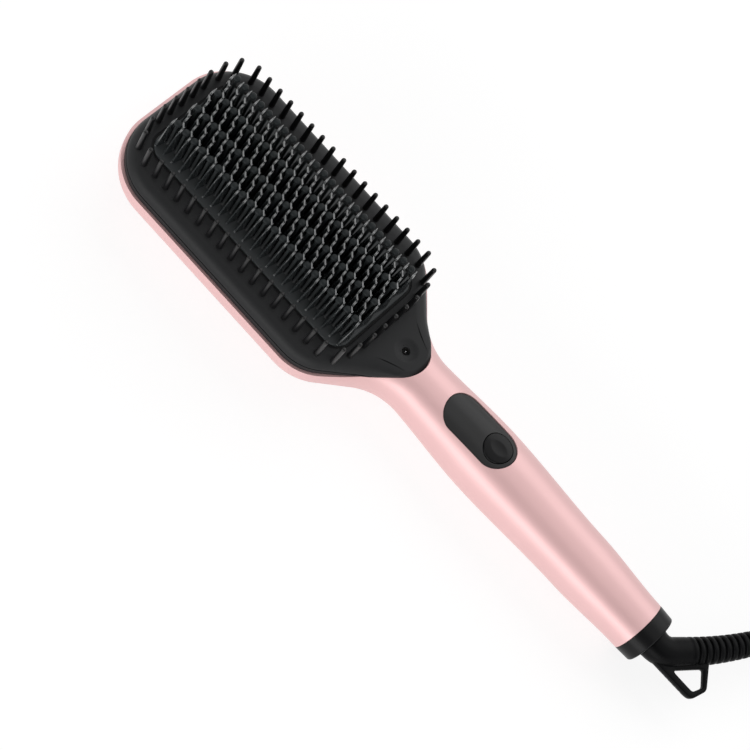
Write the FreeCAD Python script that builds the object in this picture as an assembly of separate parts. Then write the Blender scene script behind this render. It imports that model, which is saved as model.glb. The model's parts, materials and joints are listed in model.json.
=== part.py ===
import FreeCAD, Part
import math
import os

V = FreeCAD.Vector

# Lengths in mm. The brush lies on its back with the teeth up. The long axis is X, with the head's own
# centre at X = 0 while modelling, and the handle towards +X. Every piece is shifted by -MID_X on export.

# Case outline
HEAD_END = 62.0
HEAD_HALF_WIDTH = 36.8
HEAD_CORNER_R = 24.0
SHOULDER_X = 46.5
SHOULDER_R = 22.0
NECK_SLOPE = math.radians(44.5)
NECK_BLEND_R = 25.0
NECK_HALF_WIDTH = 12.8
WALL = 1.8
SEAM_Z = 8.2

# Handle radius at its stations along X
NECK_STATION = (75.0, 12.7)
GRIP_STATION = (118.0, 14.6)
WAIST_STATION = (168.0, 13.0)
END_STATION = (201.0, 11.4)
REST_CUT = 0.1
AXIS_Z = GRIP_STATION[1] - REST_CUT

# Case heights and section exponents (2 is an ellipse)
WIDEST_Z = 16.5
RIM_Z = 19.5
FACE_Z = 27.0
BACK_RISE = 34.0
BACK_LIP = 1.5
BACK_CUT = 0.35
HEAD_TOP_POWER = 3.0
HEAD_BACK_POWER = 2.3
BLEND_FROM_X = 40.0
BLEND_TO_X = 82.0
RIM_RAMP_START = 1.5
RIM_RAMP_END = 2.1
RIM_RAMP_LIFT = 1.5
RIM_RAMP_POLES = (0.6, 0.25, 2.5)
SECTION_POINTS = 28
OUTER_STATIONS = (-62, -61.2, -58.8, -54, -47, -38, -15, 15, 36, 45, 53, 60, 66, 72, 80, 92, 106, 120,
                  140, 160, 180, 201)
INNER_STATIONS = (-60.2, -59.4, -57, -53, -46, -37, -15, 15, 36, 45, 53, 60, 66, 72, 80, 92, 106, 120,
                  140, 160, 180, 203)
GRIP_STATIONS = (84, 92, 100, 108, 116, 124, 132)

# Bezel
BEZEL_INSET = 1.5
BEZEL_WALL = 2.0
BEZEL_BOTTOM_Z = 18.0
BEZEL_EDGE_R = 6.5
BEZEL_CLEARANCE = 0.15
TONGUE_R = 11.5
TONGUE_BEVEL = 1.7
BEVEL_LIFT = 0.2
SLAB_RUN_ON = 14.0
GROOVE_Z = 22.0
GROOVE_WIDTH = 0.5
GROOVE_DEPTH = 0.7
OUTLET_OFFSET = 2.1
OUTLET_DISH_R = 4.6
OUTLET_DISH_DEPTH = 1.1
OUTLET_HOLE_R = 1.6

# Heated plate and the field of teeth on it
PLATE_END_MARGIN = 10.8
PLATE_SIDE_MARGIN = 14.9
PLATE_HALF_X = HEAD_END - PLATE_END_MARGIN
PLATE_HALF_Y = HEAD_HALF_WIDTH - PLATE_SIDE_MARGIN
PLATE_CORNER_R = 6.5
PLATE_TOP_Z = 27.5
PLATE_BOTTOM_Z = 23.6
FLANGE_TOP_Z = 24.9
FLANGE_WIDTH = 2.3
SEAL_WIDTH = 0.8
SEAL_TOP_Z = 26.6
COLUMN_PITCH = 4.27
ROW_Y = 5.05
FIN_HEIGHT = 14.0
FIN_BASE_HALF = (1.25, 4.8)
FIN_SHORT_BASE_HALF = (1.25, 4.1)
FIN_TOP_HALF = (0.5, 3.2)
FIN_POINT_SLOPE = 2.24
BRISTLE_BASE_R = 0.7
BRISTLE_NECK_R = 0.6
BRISTLE_NECK_Z = 42.6
BALL_R = 1.42
BALL_WIDEST_Z = 43.7
BALL_CROWN_R = 0.75
BALL_TOP_Z = 44.9
BRISTLE_SIDES = 8

# Ring of cool guard pins, placed from the plate's edges
GUARD_PITCH = 5.8
GUARD_SIDE_GAP = 5.8
GUARD_END_GAP = 4.6
GUARD_CORNER_GAPS = ((3.8, -3.4), (1.3, 2.6))
GUARD_CORNER_SPACE = 4.0
GUARD_HEIGHT = 12.7
GUARD_BASE_R = 1.2
GUARD_SHOULDER_R = 0.98
GUARD_TIP_R = 0.5
GUARD_TIP_LENGTH = 0.9
GUARD_SIDES = 8

# Heater stack under the plate
HEATER_SIZE = (76.0, 14.0, 1.2)
MICA_SIZE = (80.0, 24.0, 0.4)
CARRIER_OUTER_HALF = (PLATE_HALF_X + 3.2, PLATE_HALF_Y + 2.8)
CARRIER_INNER_HALF = (PLATE_HALF_X - 2.7, PLATE_HALF_Y - 3.4)
CARRIER_BOTTOM_Z = 21.6
CARRIER_EAR_X = 20.0
CARRIER_EAR_Y = PLATE_HALF_Y + 5.5
CLAMP_HALF = (CARRIER_INNER_HALF[0] - 1.5, CARRIER_INNER_HALF[1] - 3.5)
CLAMP_SIZE = (2 * CLAMP_HALF[0], 2 * CLAMP_HALF[1], 0.8)
CLAMP_SCREW_X = CLAMP_HALF[0] - 4.0
CLAMP_SCREW_Y = CLAMP_HALF[1] - 5.0
CARRIER_EAR_R = 2.6
CARRIER_SCREW_TIP_Z = FACE_Z - 1.0
SPACER_WALL = 1.2
CLAMP_SCREW_DEPTH = 2.2
FUSE_R = 1.6
FUSE_X = (-18.0, -4.0)
THERMISTOR_R = 1.1
THERMISTOR_X = (6.0, 11.0)
ION_BLOCK = (22.0, 50.0, 9.0, 2.25, 13.0)
NEEDLE_R = 0.6
NEEDLE_POINT = 1.3
NEEDLE_POINT_R = 0.1
NEEDLE_SINK = 0.6
NEEDLE_TAIL = 1.5
SOCKET_R = 3.0
SOCKET_MOUTH = 2.0
SOCKET_BOTTOM_Z = 20.5

# Screws
CASE_SCREW_X = 42.0
CASE_SCREW_Y = HEAD_HALF_WIDTH - 9.3
CASE_POST_R = 3.2
CASE_BOSS_R = 2.6
CASE_BOSS_Z = 9.2
CASE_HEAD_R = 2.2
CASE_HEAD_Z = 6.9
CASE_HEAD_HEIGHT = 1.6
CASE_BOSS_ROOF = 1.0
CASE_SCREW_DEPTH = 8.0
CROSS_HALF = 1.3
SLOT_HALF = 0.3
SMALL_SCREW_R = 1.1
SMALL_HEAD_R = 2.0
SMALL_HEAD_HEIGHT = 1.2
BOARD_SCREW_LENGTH = 7.0
SCREW_END_SPACE = 1.0
SCREW_PLAY = 0.2
FIT = 0.05
OVER = 1.0
FAR = 100.0

# Control panel, button and board
PANEL_X = 107.5
PANEL_HALF_LENGTH = 16.7
PANEL_HALF_WIDTH = 8.4
PANEL_RECESS = 0.35
PANEL_GAP = 0.15
PANEL_FLANGE = 1.6
PANEL_THICKNESS = 1.3
PANEL_CUT_Z = AXIS_Z + 3.0
FLANGE_GAP = 0.1
BUTTON_X = 116.6
BUTTON_HOLE_R = 6.0
BUTTON_R = 5.75
BUTTON_PROUD = 0.15
BUTTON_DISH_R = 24.0
BUTTON_DISH_DEPTH = 0.35
BUTTON_CAP_Z = 24.9
BUTTON_EAR_HALF = (8.0, 2.5)
BUTTON_EAR_HEIGHT = 1.0
BUTTON_STEM_R = 2.0
BUTTON_TRAVEL = 0.8
STEM_GAP = 0.1
BOARD_X = (91.0, 176.0)
BOARD_HALF_WIDTH = 8.6
BOARD_Z = (16.4, 18.0)
SWITCH_HALF = 3.0
SWITCH_TOP_Z = 21.6
PLUNGER_R = 1.6
PLUNGER_TOP_Z = 22.3
DISPLAY_X = (96.0, 107.0)
DISPLAY_HALF_WIDTH = 4.2
DISPLAY_TOP_Z = 24.0
RELAY_X = (136.0, 152.0)
RELAY_HALF_WIDTH = 5.0
RELAY_TOP_Z = 23.6
RELAY_EDGE_R = 0.6
CAPACITOR_X = 163.0
CAPACITOR_R = 4.0
CAPACITOR_TOP_Z = 22.8
POST_X = (93.5, 128.0, 173.0)
POST_R = 2.4
POST_SINK = 0.9

# Collar, swivel and boot
COLLAR_END_X = 208.0
COLLAR_END_R = 11.1
COLLAR_EDGE_R = 0.8
SPIGOT_X = 193.5
SPIGOT_R = 9.2
BORE_R = 5.05
HUB_R = 5.0
HUB_FLANGE_R = 7.2
HUB_FLANGE_X = (191.0, 193.2)
HUB_END_X = 208.4
SHAFT_R = 3.4
SHAFT_X = 181.0
RING_X = (182.0, 187.0)
RING_WIDTH = 2.5
RING_R = 4.2
BRUSH_GAP = 0.2
BRUSH_MARGIN = 0.3
BRUSH_HALF_WIDTH = 1.4
BLOCK_X = (181.0, 190.5)
BLOCK_HALF_WIDTH = 3.4
BLOCK_TOP_Z = 8.0
ELBOW_X = 214.5
ELBOW_TURN = math.radians(50.0)
ELBOW_R = 9.0
ELBOW_START_R = 6.45
ELBOW_EXIT_R = 5.65
ELBOW_EXIT = 11.0
BOOT_BEND_R = 160.0
RIB_COUNT = 15
RIB_PITCH = 2.8
RIB_CREST = 1.6
RIB_FLANK = 0.3
RIB_DEPTH = 0.6
BOOT_END_R = 4.2
BOOT_TAIL = 4.0
LOOP_OUTER = ((211.5, -5.6), (233.8, -5.1), (236.2, 2.4), (228.5, 13.2), (220.0, 6.0))
LOOP_OUTER_R = (0.0, 3.6, 3.0, 0.0, 0.0)
LOOP_HOLE = ((221.6, -2.2), (232.4, -2.1), (234.2, 2.2), (229.8, 7.6))
LOOP_HOLE_R = (0.8, 1.8, 1.5, 0.9)
LOOP_HALF_THICKNESS = 1.6

# Cord, put away as a tied coil, and its plug
CORD_R = 3.0
CORD_DROP = ((14.0, 0.0, 0.0), (16.0, -20.0, -5.3), (16.0, -24.0, -5.3))
CORD_LAST_RUN = 39.0
CORD_LAST_SHIFT = -11.0
ROUTE_ROUNDING = 0.45
COIL_OUTER_R = 43.0
COIL_STEP = 6.6
COIL_LAYER = 6.6
COIL_IN_TURNS = 3.25
COIL_FLIP_TURNS = 0.5
COIL_WHOLE_TURNS = 7
COIL_LEAD_TURNS = 0.5
COIL_LEAD_GROWTH = 10.0
COIL_LEAD_LEVEL = 0.5
COIL_BASE_Z = 3.9
COIL_END_STRAIGHT = 6.0
COIL_SPAN_ARCS = (13, 2, 12, 4)
GAP_SAMPLE = 2.5
GAP_SKIP = 12
TIE_SAMPLE = 1.5
TIE_THICKNESS = 0.6
TIE_LENGTH = 8.0
TIE_CLEARANCE = 0.2
TIE_ANGLE = math.radians(200.0)
PLUG_HEADING = math.radians(190.0)
PLUG_AXIS_Z = 7.0
PLUG_NECK = 14.0
PLUG_BODY = 24.0
PLUG_HALF_WIDTH = 12.5
PLUG_HALF_HEIGHT = 6.6
PLUG_NECK_R = 4.4
PLUG_NECK_WALL = 0.6
PLUG_SIDE_R = 4.0
PLUG_SHOULDER_R = 2.0
PLUG_PIN_R = 2.0
PLUG_PIN_LENGTH = 19.0
PLUG_PIN_SPACING = 18.6

MID_X = (HUB_END_X - HEAD_END) / 2


def smooth(value):
    """Eased step from 0 to 1."""
    value = min(max(value, 0.0), 1.0)
    return value * value * (3 - 2 * value)


def mix(first, second, share):
    """Value between two others."""
    return first + (second - first) * share


def box(x0, x1, y0, y1, z0, z1):
    """Rectangular block between two corners."""
    return Part.makeBox(x1 - x0, y1 - y0, z1 - z0, V(x0, y0, z0))


def post(radius, x, y, z0, z1):
    """Upright cylinder."""
    return Part.makeCylinder(radius, z1 - z0, V(x, y, z0), V(0, 0, 1))


def rod(radius, x0, x1, y=0.0, z=AXIS_Z):
    """Cylinder along the long axis."""
    return Part.makeCylinder(radius, x1 - x0, V(x0, y, z), V(1, 0, 0))


def prism(wire, z1):
    """Solid from a flat outline up (or down) to a height."""
    z0 = wire.BoundBox.ZMin
    return Part.Face(wire).extrude(V(0, 0, z1 - z0))


def rounded_outline(points, radii, z):
    """Closed outline through corner points, each rounded by its own tangent arc."""
    count = len(points)
    edges = []
    starts = []
    ends = []
    for index in range(count):
        corner = V(points[index][0], points[index][1], z)
        before = V(points[index - 1][0], points[index - 1][1], z)
        after = V(points[(index + 1) % count][0], points[(index + 1) % count][1], z)
        back = (before - corner).normalize()
        ahead = (after - corner).normalize()
        half = math.acos(max(-1.0, min(1.0, back.dot(ahead)))) / 2
        reach = radii[index] / math.tan(half)
        starts.append(corner + back * reach)
        ends.append(corner + ahead * reach)
        if radii[index] > 0:
            bisector = (back + ahead).normalize()
            middle = corner + bisector * (radii[index] / math.sin(half) - radii[index])
            edges.append(Part.Arc(starts[index], middle, ends[index]).toShape())
    for index in range(count):
        following = (index + 1) % count
        if (starts[following] - ends[index]).Length > 1e-6:
            edges.append(Part.makeLine(ends[index], starts[following]))
    return Part.Wire(Part.__sortEdges__(edges))


def rounded_rectangle(half_x, half_y, radius, z):
    """Rectangle about the head's centre with rounded corners."""
    corners = ((-half_x, -half_y), (half_x, -half_y), (half_x, half_y), (-half_x, half_y))
    return rounded_outline(corners, (radius,) * 4, z)


def stadium(grow, z):
    """Oval outline of the control panel, grown or shrunk by an offset."""
    half_y = PANEL_HALF_WIDTH + grow
    half_x = PANEL_HALF_LENGTH + grow
    straight = half_x - half_y
    left = PANEL_X - straight
    right = PANEL_X + straight
    edges = [
        Part.makeLine(V(left, -half_y, z), V(right, -half_y, z)),
        Part.Arc(V(right, -half_y, z), V(right + half_y, 0, z), V(right, half_y, z)).toShape(),
        Part.makeLine(V(right, half_y, z), V(left, half_y, z)),
        Part.Arc(V(left, half_y, z), V(left - half_y, 0, z), V(left, -half_y, z)).toShape(),
    ]
    return Part.Wire(edges)


def faceted(rings):
    """Closed solid of flat faces through rings of corners, capped at both ends."""
    faces = []
    for ring in (rings[0], rings[-1]):
        faces.append(Part.Face(Part.makePolygon(ring + ring[:1])))
    for low, high in zip(rings, rings[1:]):
        for index in range(len(low)):
            before = index - 1
            corners = [low[before], low[index], high[index], high[before], low[before]]
            faces.append(Part.Face(Part.makePolygon(corners)))
    return Part.Solid(Part.Shell(faces))


def ring_corners(x, y, radius, z, sides):
    """Corners of a level regular polygon."""
    angles = [2 * math.pi * index / sides for index in range(sides)]
    return [V(x + radius * math.cos(angle), y + radius * math.sin(angle), z) for angle in angles]


def frustum_stack(x, y, rings, sides):
    """Faceted round piece: (radius, height) rings joined by flat facets."""
    return faceted([ring_corners(x, y, radius, z, sides) for radius, z in rings])


def handle_radius(x):
    """Handle radius along its length, eased between the stations."""
    stations = (NECK_STATION, GRIP_STATION, WAIST_STATION, END_STATION)
    for first, second in zip(stations, stations[1:]):
        if x <= second[0]:
            return mix(first[1], second[1], smooth((x - first[0]) / (second[0] - first[0])))
    return END_STATION[1]


def shoulder_start_x():
    """Where the head's straight side ends."""
    return SHOULDER_X - SHOULDER_R * math.tan(NECK_SLOPE / 2)


def neck_corner_x():
    """Where the shoulder line would meet the neck's side."""
    return SHOULDER_X + (HEAD_HALF_WIDTH - NECK_HALF_WIDTH) / math.tan(NECK_SLOPE)


def neck_end_x():
    """Where the neck's hollow curve runs out into the handle."""
    return neck_corner_x() + NECK_BLEND_R * math.tan(NECK_SLOPE / 2)


def half_width(x, inset):
    """Half-width of the case outline at one place along the long axis."""
    corner_x = HEAD_CORNER_R - HEAD_END
    start = shoulder_start_x()
    shoulder_end = start + SHOULDER_R * math.sin(NECK_SLOPE)
    hollow_end = neck_end_x()
    hollow_start = hollow_end - NECK_BLEND_R * math.sin(NECK_SLOPE)
    if x < corner_x:
        radius = HEAD_CORNER_R - inset
        reach = max(radius ** 2 - (x - corner_x) ** 2, 0.0)
        return HEAD_HALF_WIDTH - HEAD_CORNER_R + math.sqrt(reach)
    if x < start:
        return HEAD_HALF_WIDTH - inset
    if x < shoulder_end:
        return HEAD_HALF_WIDTH - SHOULDER_R + math.sqrt(SHOULDER_R ** 2 - (x - start) ** 2) - inset
    if x < hollow_start:
        return HEAD_HALF_WIDTH - (x - SHOULDER_X) * math.tan(NECK_SLOPE) - inset
    if x < hollow_end:
        reach = NECK_BLEND_R ** 2 - (x - hollow_end) ** 2
        return NECK_HALF_WIDTH + NECK_BLEND_R - math.sqrt(reach) - inset
    return handle_radius(x) - inset


def back_height(x):
    """Depth of the head's back below its widest level, rising to the far end."""
    share = 1 - (x + HEAD_END + BACK_LIP) / BACK_RISE
    full = WIDEST_Z + BACK_CUT
    if share <= 0:
        return full
    return full * (1 - share ** HEAD_BACK_POWER) ** (1 / HEAD_BACK_POWER)


def section(x, inset):
    """Closed cross-section of the case: a shallow pillow at the head, a circle at the handle."""
    share = smooth((x - BLEND_FROM_X) / (BLEND_TO_X - BLEND_FROM_X))
    radius = handle_radius(max(x, NECK_STATION[0]))
    middle = mix(WIDEST_Z, AXIS_Z, share)
    rise = mix(FACE_Z, AXIS_Z + radius, share) - inset - middle
    drop = mix(back_height(x), radius, share) - inset
    up_power = 2 / mix(HEAD_TOP_POWER, 2.0, share)
    down_power = 2 / mix(HEAD_BACK_POWER, 2.0, share)
    width = half_width(x, inset)
    points = []
    for index in range(SECTION_POINTS):
        angle = 2 * math.pi * index / SECTION_POINTS
        cosine = math.cos(angle)
        sine = math.sin(angle)
        power = up_power if sine >= 0 else down_power
        reach = rise if sine >= 0 else drop
        y = math.copysign(abs(cosine) ** power, cosine) * width
        z = middle + math.copysign(abs(sine) ** power, sine) * reach
        points.append(V(x, y, z))
    curve = Part.BSplineCurve()
    curve.interpolate(points, PeriodicFlag=True)
    return Part.Wire(curve.toShape())


def case_body(stations, inset):
    """Solid through the case's cross-sections."""
    return Part.makeLoft([section(x, inset) for x in stations], True, False)


def grip_body(inset):
    """Short length of the handle round the control panel, shrunk by an inset."""
    return case_body(GRIP_STATIONS, inset)


def bezel_outline(inset, z):
    """Head outline with the rounded tongue that reaches onto the neck."""
    end = HEAD_END - inset
    wide = HEAD_HALF_WIDTH - inset
    corner = HEAD_CORNER_R - inset
    shoulder = SHOULDER_R - inset
    tongue = TONGUE_R + BEZEL_INSET - inset
    start = shoulder_start_x()
    half = NECK_SLOPE / 2
    reach = (HEAD_HALF_WIDTH - BEZEL_INSET) * math.cos(NECK_SLOPE) - TONGUE_R
    centre = SHOULDER_X - BEZEL_INSET * math.tan(half) + reach / math.sin(NECK_SLOPE)
    diagonal = math.sqrt(0.5)
    side = [
        (-end, wide - corner),
        (-end + corner * (1 - diagonal), wide - corner * (1 - diagonal)),
        (-end + corner, wide),
        (start, wide),
        (start + shoulder * math.sin(half), wide - shoulder + shoulder * math.cos(half)),
        (start + shoulder * math.sin(NECK_SLOPE), wide - shoulder + shoulder * math.cos(NECK_SLOPE)),
        (centre + tongue * math.sin(NECK_SLOPE), tongue * math.cos(NECK_SLOPE)),
    ]
    upper = [V(x, y, z) for x, y in side]
    lower = [V(x, -y, z) for x, y in side]
    tip = V(centre + tongue, 0, z)
    edges = [
        Part.makeLine(lower[0], upper[0]),
        Part.Arc(upper[0], upper[1], upper[2]).toShape(),
        Part.makeLine(upper[2], upper[3]),
        Part.Arc(upper[3], upper[4], upper[5]).toShape(),
        Part.makeLine(upper[5], upper[6]),
        Part.Arc(upper[6], tip, lower[6]).toShape(),
        Part.makeLine(lower[6], lower[5]),
        Part.Arc(lower[5], lower[4], lower[3]).toShape(),
        Part.makeLine(lower[3], lower[2]),
        Part.Arc(lower[2], lower[1], lower[0]).toShape(),
    ]
    return Part.Wire(edges)


def tongue_centre_x():
    """Centre of the tongue's rounded end."""
    return bezel_outline(BEZEL_INSET, 0).BoundBox.XMax - TONGUE_R


def outlet_x():
    """Place of the ion outlet on the tongue."""
    return tongue_centre_x() + OUTLET_OFFSET


def bezel_slab():
    """Slab with a rounded top edge, running on along the neck past the tongue's end."""
    inset = BEZEL_INSET
    wide = HEAD_HALF_WIDTH - inset
    neck = NECK_HALF_WIDTH - inset
    far = neck_end_x() + SLAB_RUN_ON
    shoulder = SHOULDER_X - inset * math.tan(NECK_SLOPE / 2)
    hollow = neck_corner_x() - inset * math.tan(NECK_SLOPE / 2)
    points = (
        (inset - HEAD_END, -wide), (shoulder, -wide), (hollow, -neck), (far, -neck),
        (far, neck), (hollow, neck), (shoulder, wide), (inset - HEAD_END, wide),
    )
    corner = HEAD_CORNER_R - inset
    turn = SHOULDER_R - inset
    blend = NECK_BLEND_R + inset
    radii = (corner, turn, blend, 0.0, 0.0, blend, turn, corner)
    slab = prism(rounded_outline(points, radii, BEZEL_BOTTOM_Z), FACE_Z)
    top = []
    for edge in slab.Edges:
        flat = edge.BoundBox.ZMin > FACE_Z - 1e-6
        if flat and edge.BoundBox.XMin < far - OVER:
            top.append(edge)
    return slab.makeFillet(BEZEL_EDGE_R, top)


def face_height(inset):
    """Height of the bezel's top at a distance in from its edge."""
    short = max(BEZEL_EDGE_R - inset, 0.0)
    return FACE_Z - BEZEL_EDGE_R + math.sqrt(BEZEL_EDGE_R ** 2 - short ** 2)


def mirrored(x, y):
    """The four places that share a distance from both middle lines."""
    return ((x, y), (x, -y), (-x, y), (-x, -y))


def make_front_bezel():
    """Black frame round the heated field, with tongue, groove and ion outlet."""
    body = bezel_slab().common(prism(bezel_outline(BEZEL_INSET, BEZEL_BOTTOM_Z), FACE_Z + OVER))
    centre = tongue_centre_x()
    inner = centre + TONGUE_R - TONGUE_BEVEL
    outer = centre + TONGUE_R + OVER / 2
    high = FACE_Z + BEVEL_LIFT
    corners = [V(inner, 0, high), V(outer, 0, high), V(outer, 0, FACE_Z - TONGUE_BEVEL)]
    bevel = Part.makePolygon(corners + corners[:1])
    sweep = 90 - math.degrees(NECK_SLOPE)
    ring = Part.Face(bevel)
    ring.rotate(V(centre, 0, 0), V(0, 0, 1), -sweep)
    body = body.cut(ring.revolve(V(centre, 0, 0), V(0, 0, 1), 2 * sweep))
    cavity = prism(bezel_outline(BEZEL_INSET + BEZEL_WALL, BEZEL_BOTTOM_Z), FACE_Z - BEZEL_WALL)
    body = body.cut(cavity)
    for x, y in mirrored(CASE_SCREW_X, CASE_SCREW_Y):
        body = body.fuse(post(CASE_BOSS_R, x, y, CASE_BOSS_Z, FACE_Z - CASE_BOSS_ROOF))
        screw_end = CASE_BOSS_Z + CASE_SCREW_DEPTH + SCREW_END_SPACE
        body = body.cut(post(SMALL_SCREW_R + FIT, x, y, CASE_BOSS_Z, screw_end))
    for x, y in mirrored(CARRIER_EAR_X, CARRIER_EAR_Y):
        hole_top = CARRIER_SCREW_TIP_Z + SCREW_PLAY
        body = body.cut(post(SMALL_SCREW_R + FIT, x, y, FACE_Z - BEZEL_WALL - OVER, hole_top))
    grow = SEAL_WIDTH
    opening = rounded_rectangle(PLATE_HALF_X + grow, PLATE_HALF_Y + grow, PLATE_CORNER_R + grow, BEZEL_BOTTOM_Z)
    body = body.cut(prism(opening, FACE_Z + OVER))
    half = GROOVE_WIDTH / 2
    groove = prism(bezel_outline(BEZEL_INSET - OVER / 2, GROOVE_Z - half), GROOVE_Z + half)
    core = prism(bezel_outline(BEZEL_INSET + GROOVE_DEPTH, GROOVE_Z - OVER), GROOVE_Z + OVER)
    body = body.cut(groove.cut(core))
    ball = (OUTLET_DISH_R ** 2 + OUTLET_DISH_DEPTH ** 2) / (2 * OUTLET_DISH_DEPTH)
    body = body.cut(Part.makeSphere(ball, V(outlet_x(), 0, FACE_Z - OUTLET_DISH_DEPTH + ball)))
    return body.cut(post(OUTLET_HOLE_R, outlet_x(), 0, BEZEL_BOTTOM_Z, FACE_Z + OVER))


def rim_ramp():
    """Space above the case's rim: level round the head, rising along the neck to the handle's top."""
    high = FAR
    rise = FACE_Z + RIM_RAMP_LIFT
    low = V(SHOULDER_X + RIM_RAMP_START, 0, RIM_Z)
    end = V(tongue_centre_x() + TONGUE_R + RIM_RAMP_END, 0, rise)
    run = end.x - low.x
    ahead, back, drop = RIM_RAMP_POLES
    curve = Part.BezierCurve()
    curve.setPoles([low, V(low.x + run * ahead, 0, RIM_Z), V(end.x - run * back, 0, rise - drop), end])
    edges = [
        Part.makeLine(V(-FAR, 0, RIM_Z), low),
        curve.toShape(),
        Part.makeLine(end, V(end.x, 0, high)),
        Part.makeLine(V(end.x, 0, high), V(-FAR, 0, high)),
        Part.makeLine(V(-FAR, 0, high), V(-FAR, 0, RIM_Z)),
    ]
    face = Part.Face(Part.Wire(edges))
    face.translate(V(0, -FAR, 0))
    return face.extrude(V(0, 2 * FAR, 0))


def make_case():
    """Pink case in two mouldings: the front with all that shows, and the lid along the back."""
    shell = case_body(OUTER_STATIONS, 0.0).cut(case_body(INNER_STATIONS, WALL))
    end = END_STATION[0]
    shell = shell.cut(box(end, end + FAR, -FAR, FAR, -FAR, FAR))
    seat = prism(bezel_outline(BEZEL_INSET - BEZEL_CLEARANCE, BEZEL_BOTTOM_Z - FLANGE_GAP), FAR)
    upper = shell.common(box(-FAR, end, -FAR, FAR, SEAM_Z, FAR))
    upper = upper.cut(seat)
    upper = upper.cut(rim_ramp())
    upper = upper.cut(prism(stadium(0.0, PANEL_CUT_Z), FAR))
    lower = shell.common(box(-FAR, end, -FAR, FAR, 0, SEAM_Z))
    outer = case_body(OUTER_STATIONS, 0.0)
    for x, y in mirrored(CASE_SCREW_X, CASE_SCREW_Y):
        lower = lower.fuse(post(CASE_POST_R, x, y, OVER, CASE_BOSS_Z).common(outer))
        lower = lower.cut(post(CASE_HEAD_R + SCREW_PLAY, x, y, -OVER, CASE_HEAD_Z))
        lower = lower.cut(post(SMALL_SCREW_R + SCREW_PLAY, x, y, -OVER, CASE_BOSS_Z + OVER))
    for x in POST_X:
        lower = lower.fuse(post(POST_R, x, 0, AXIS_Z - handle_radius(x) + POST_SINK, BOARD_Z[0]))
        screw_end = BOARD_Z[1] - BOARD_SCREW_LENGTH - SCREW_END_SPACE
        lower = lower.cut(post(SMALL_SCREW_R + FIT, x, 0, screw_end, BOARD_Z[1]))
    return upper, lower


def guard_places():
    """Places of the guard pins: a row along each side, one across each end and two at each corner."""
    places = []
    side_y = PLATE_HALF_Y + GUARD_SIDE_GAP
    end_x = PLATE_HALF_X + GUARD_END_GAP
    corners = [(PLATE_HALF_X + dx, PLATE_HALF_Y + dy) for dx, dy in GUARD_CORNER_GAPS]
    along = int((corners[1][0] - GUARD_CORNER_SPACE) / GUARD_PITCH)
    across = int((corners[0][1] - GUARD_CORNER_SPACE) / GUARD_PITCH)
    for step in range(-along, along + 1):
        places.append((step * GUARD_PITCH, side_y))
        places.append((step * GUARD_PITCH, -side_y))
    for step in range(-across, across + 1):
        places.append((end_x, step * GUARD_PITCH))
        places.append((-end_x, step * GUARD_PITCH))
    for x, y in corners:
        places.extend(mirrored(x, y))
    return places


def face_seat(x, y):
    """Height of the bezel's top at a place, and its slope there along X and Y."""
    edge = bezel_outline(BEZEL_INSET, 0).distToShape(Part.Vertex(x, y, 0))
    inset = edge[0]
    inward = (edge[1][0][1] - edge[1][0][0]).normalize()
    short = max(BEZEL_EDGE_R - inset, 0.0)
    slope = short / math.sqrt(BEZEL_EDGE_R ** 2 - short ** 2)
    return face_height(inset), inward.x * slope, inward.y * slope


def make_guard_pin(x, y):
    """Tapered pin with a rounded tip, its foot cut to the slope of the bezel under it."""
    base, slope_x, slope_y = face_seat(x, y)
    shoulder = FACE_Z + GUARD_HEIGHT - GUARD_TIP_LENGTH
    taper = GUARD_SHOULDER_R - GUARD_BASE_R
    foot = []
    for index in range(GUARD_SIDES):
        angle = 2 * math.pi * index / GUARD_SIDES
        lean = slope_x * math.cos(angle) + slope_y * math.sin(angle)
        share = lean * GUARD_BASE_R / (shoulder - base - lean * taper)
        radius = GUARD_BASE_R + taper * share
        foot.append(V(x + radius * math.cos(angle), y + radius * math.sin(angle), mix(base, shoulder, share)))
    rings = [
        foot,
        ring_corners(x, y, GUARD_SHOULDER_R, shoulder, GUARD_SIDES),
        ring_corners(x, y, GUARD_TIP_R, FACE_Z + GUARD_HEIGHT, GUARD_SIDES),
    ]
    return faceted(rings)


def make_guard_pins():
    """Ring of cool pins round the field."""
    return Part.makeCompound([make_guard_pin(x, y) for x, y in guard_places()])


def make_heating_plate():
    """Coated plate that fills the bezel's opening, with a flange below it."""
    top = prism(rounded_rectangle(PLATE_HALF_X, PLATE_HALF_Y, PLATE_CORNER_R, PLATE_BOTTOM_Z), PLATE_TOP_Z)
    grow = FLANGE_WIDTH
    ring = rounded_rectangle(PLATE_HALF_X + grow, PLATE_HALF_Y + grow, PLATE_CORNER_R + grow, PLATE_BOTTOM_Z)
    plate = top.fuse(prism(ring, FLANGE_TOP_Z)).removeSplitter()
    hole_top = PLATE_BOTTOM_Z + CLAMP_SCREW_DEPTH + SCREW_PLAY
    for x, y in mirrored(CLAMP_SCREW_X, CLAMP_SCREW_Y):
        plate = plate.cut(post(SMALL_SCREW_R + FIT, x, y, PLATE_BOTTOM_Z, hole_top))
    return plate


def field_lines():
    """How many bristle columns and tooth lines fit on each side of the plate's middle."""
    columns = int((PLATE_HALF_X - FIN_BASE_HALF[0]) / COLUMN_PITCH - 0.5)
    lines = int((PLATE_HALF_Y - FIN_BASE_HALF[1]) / ROW_Y)
    return columns, lines


def fin_corners(x, y, half, z):
    """Six-cornered lens: flat sides along Y and a point at each end."""
    wide, long = half
    flat = long - wide * FIN_POINT_SLOPE
    corners = [(wide, -flat), (wide, flat), (0, long), (-wide, flat), (-wide, -flat), (0, -long)]
    return [V(x + dx, y + dy, z) for dx, dy in corners]


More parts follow.
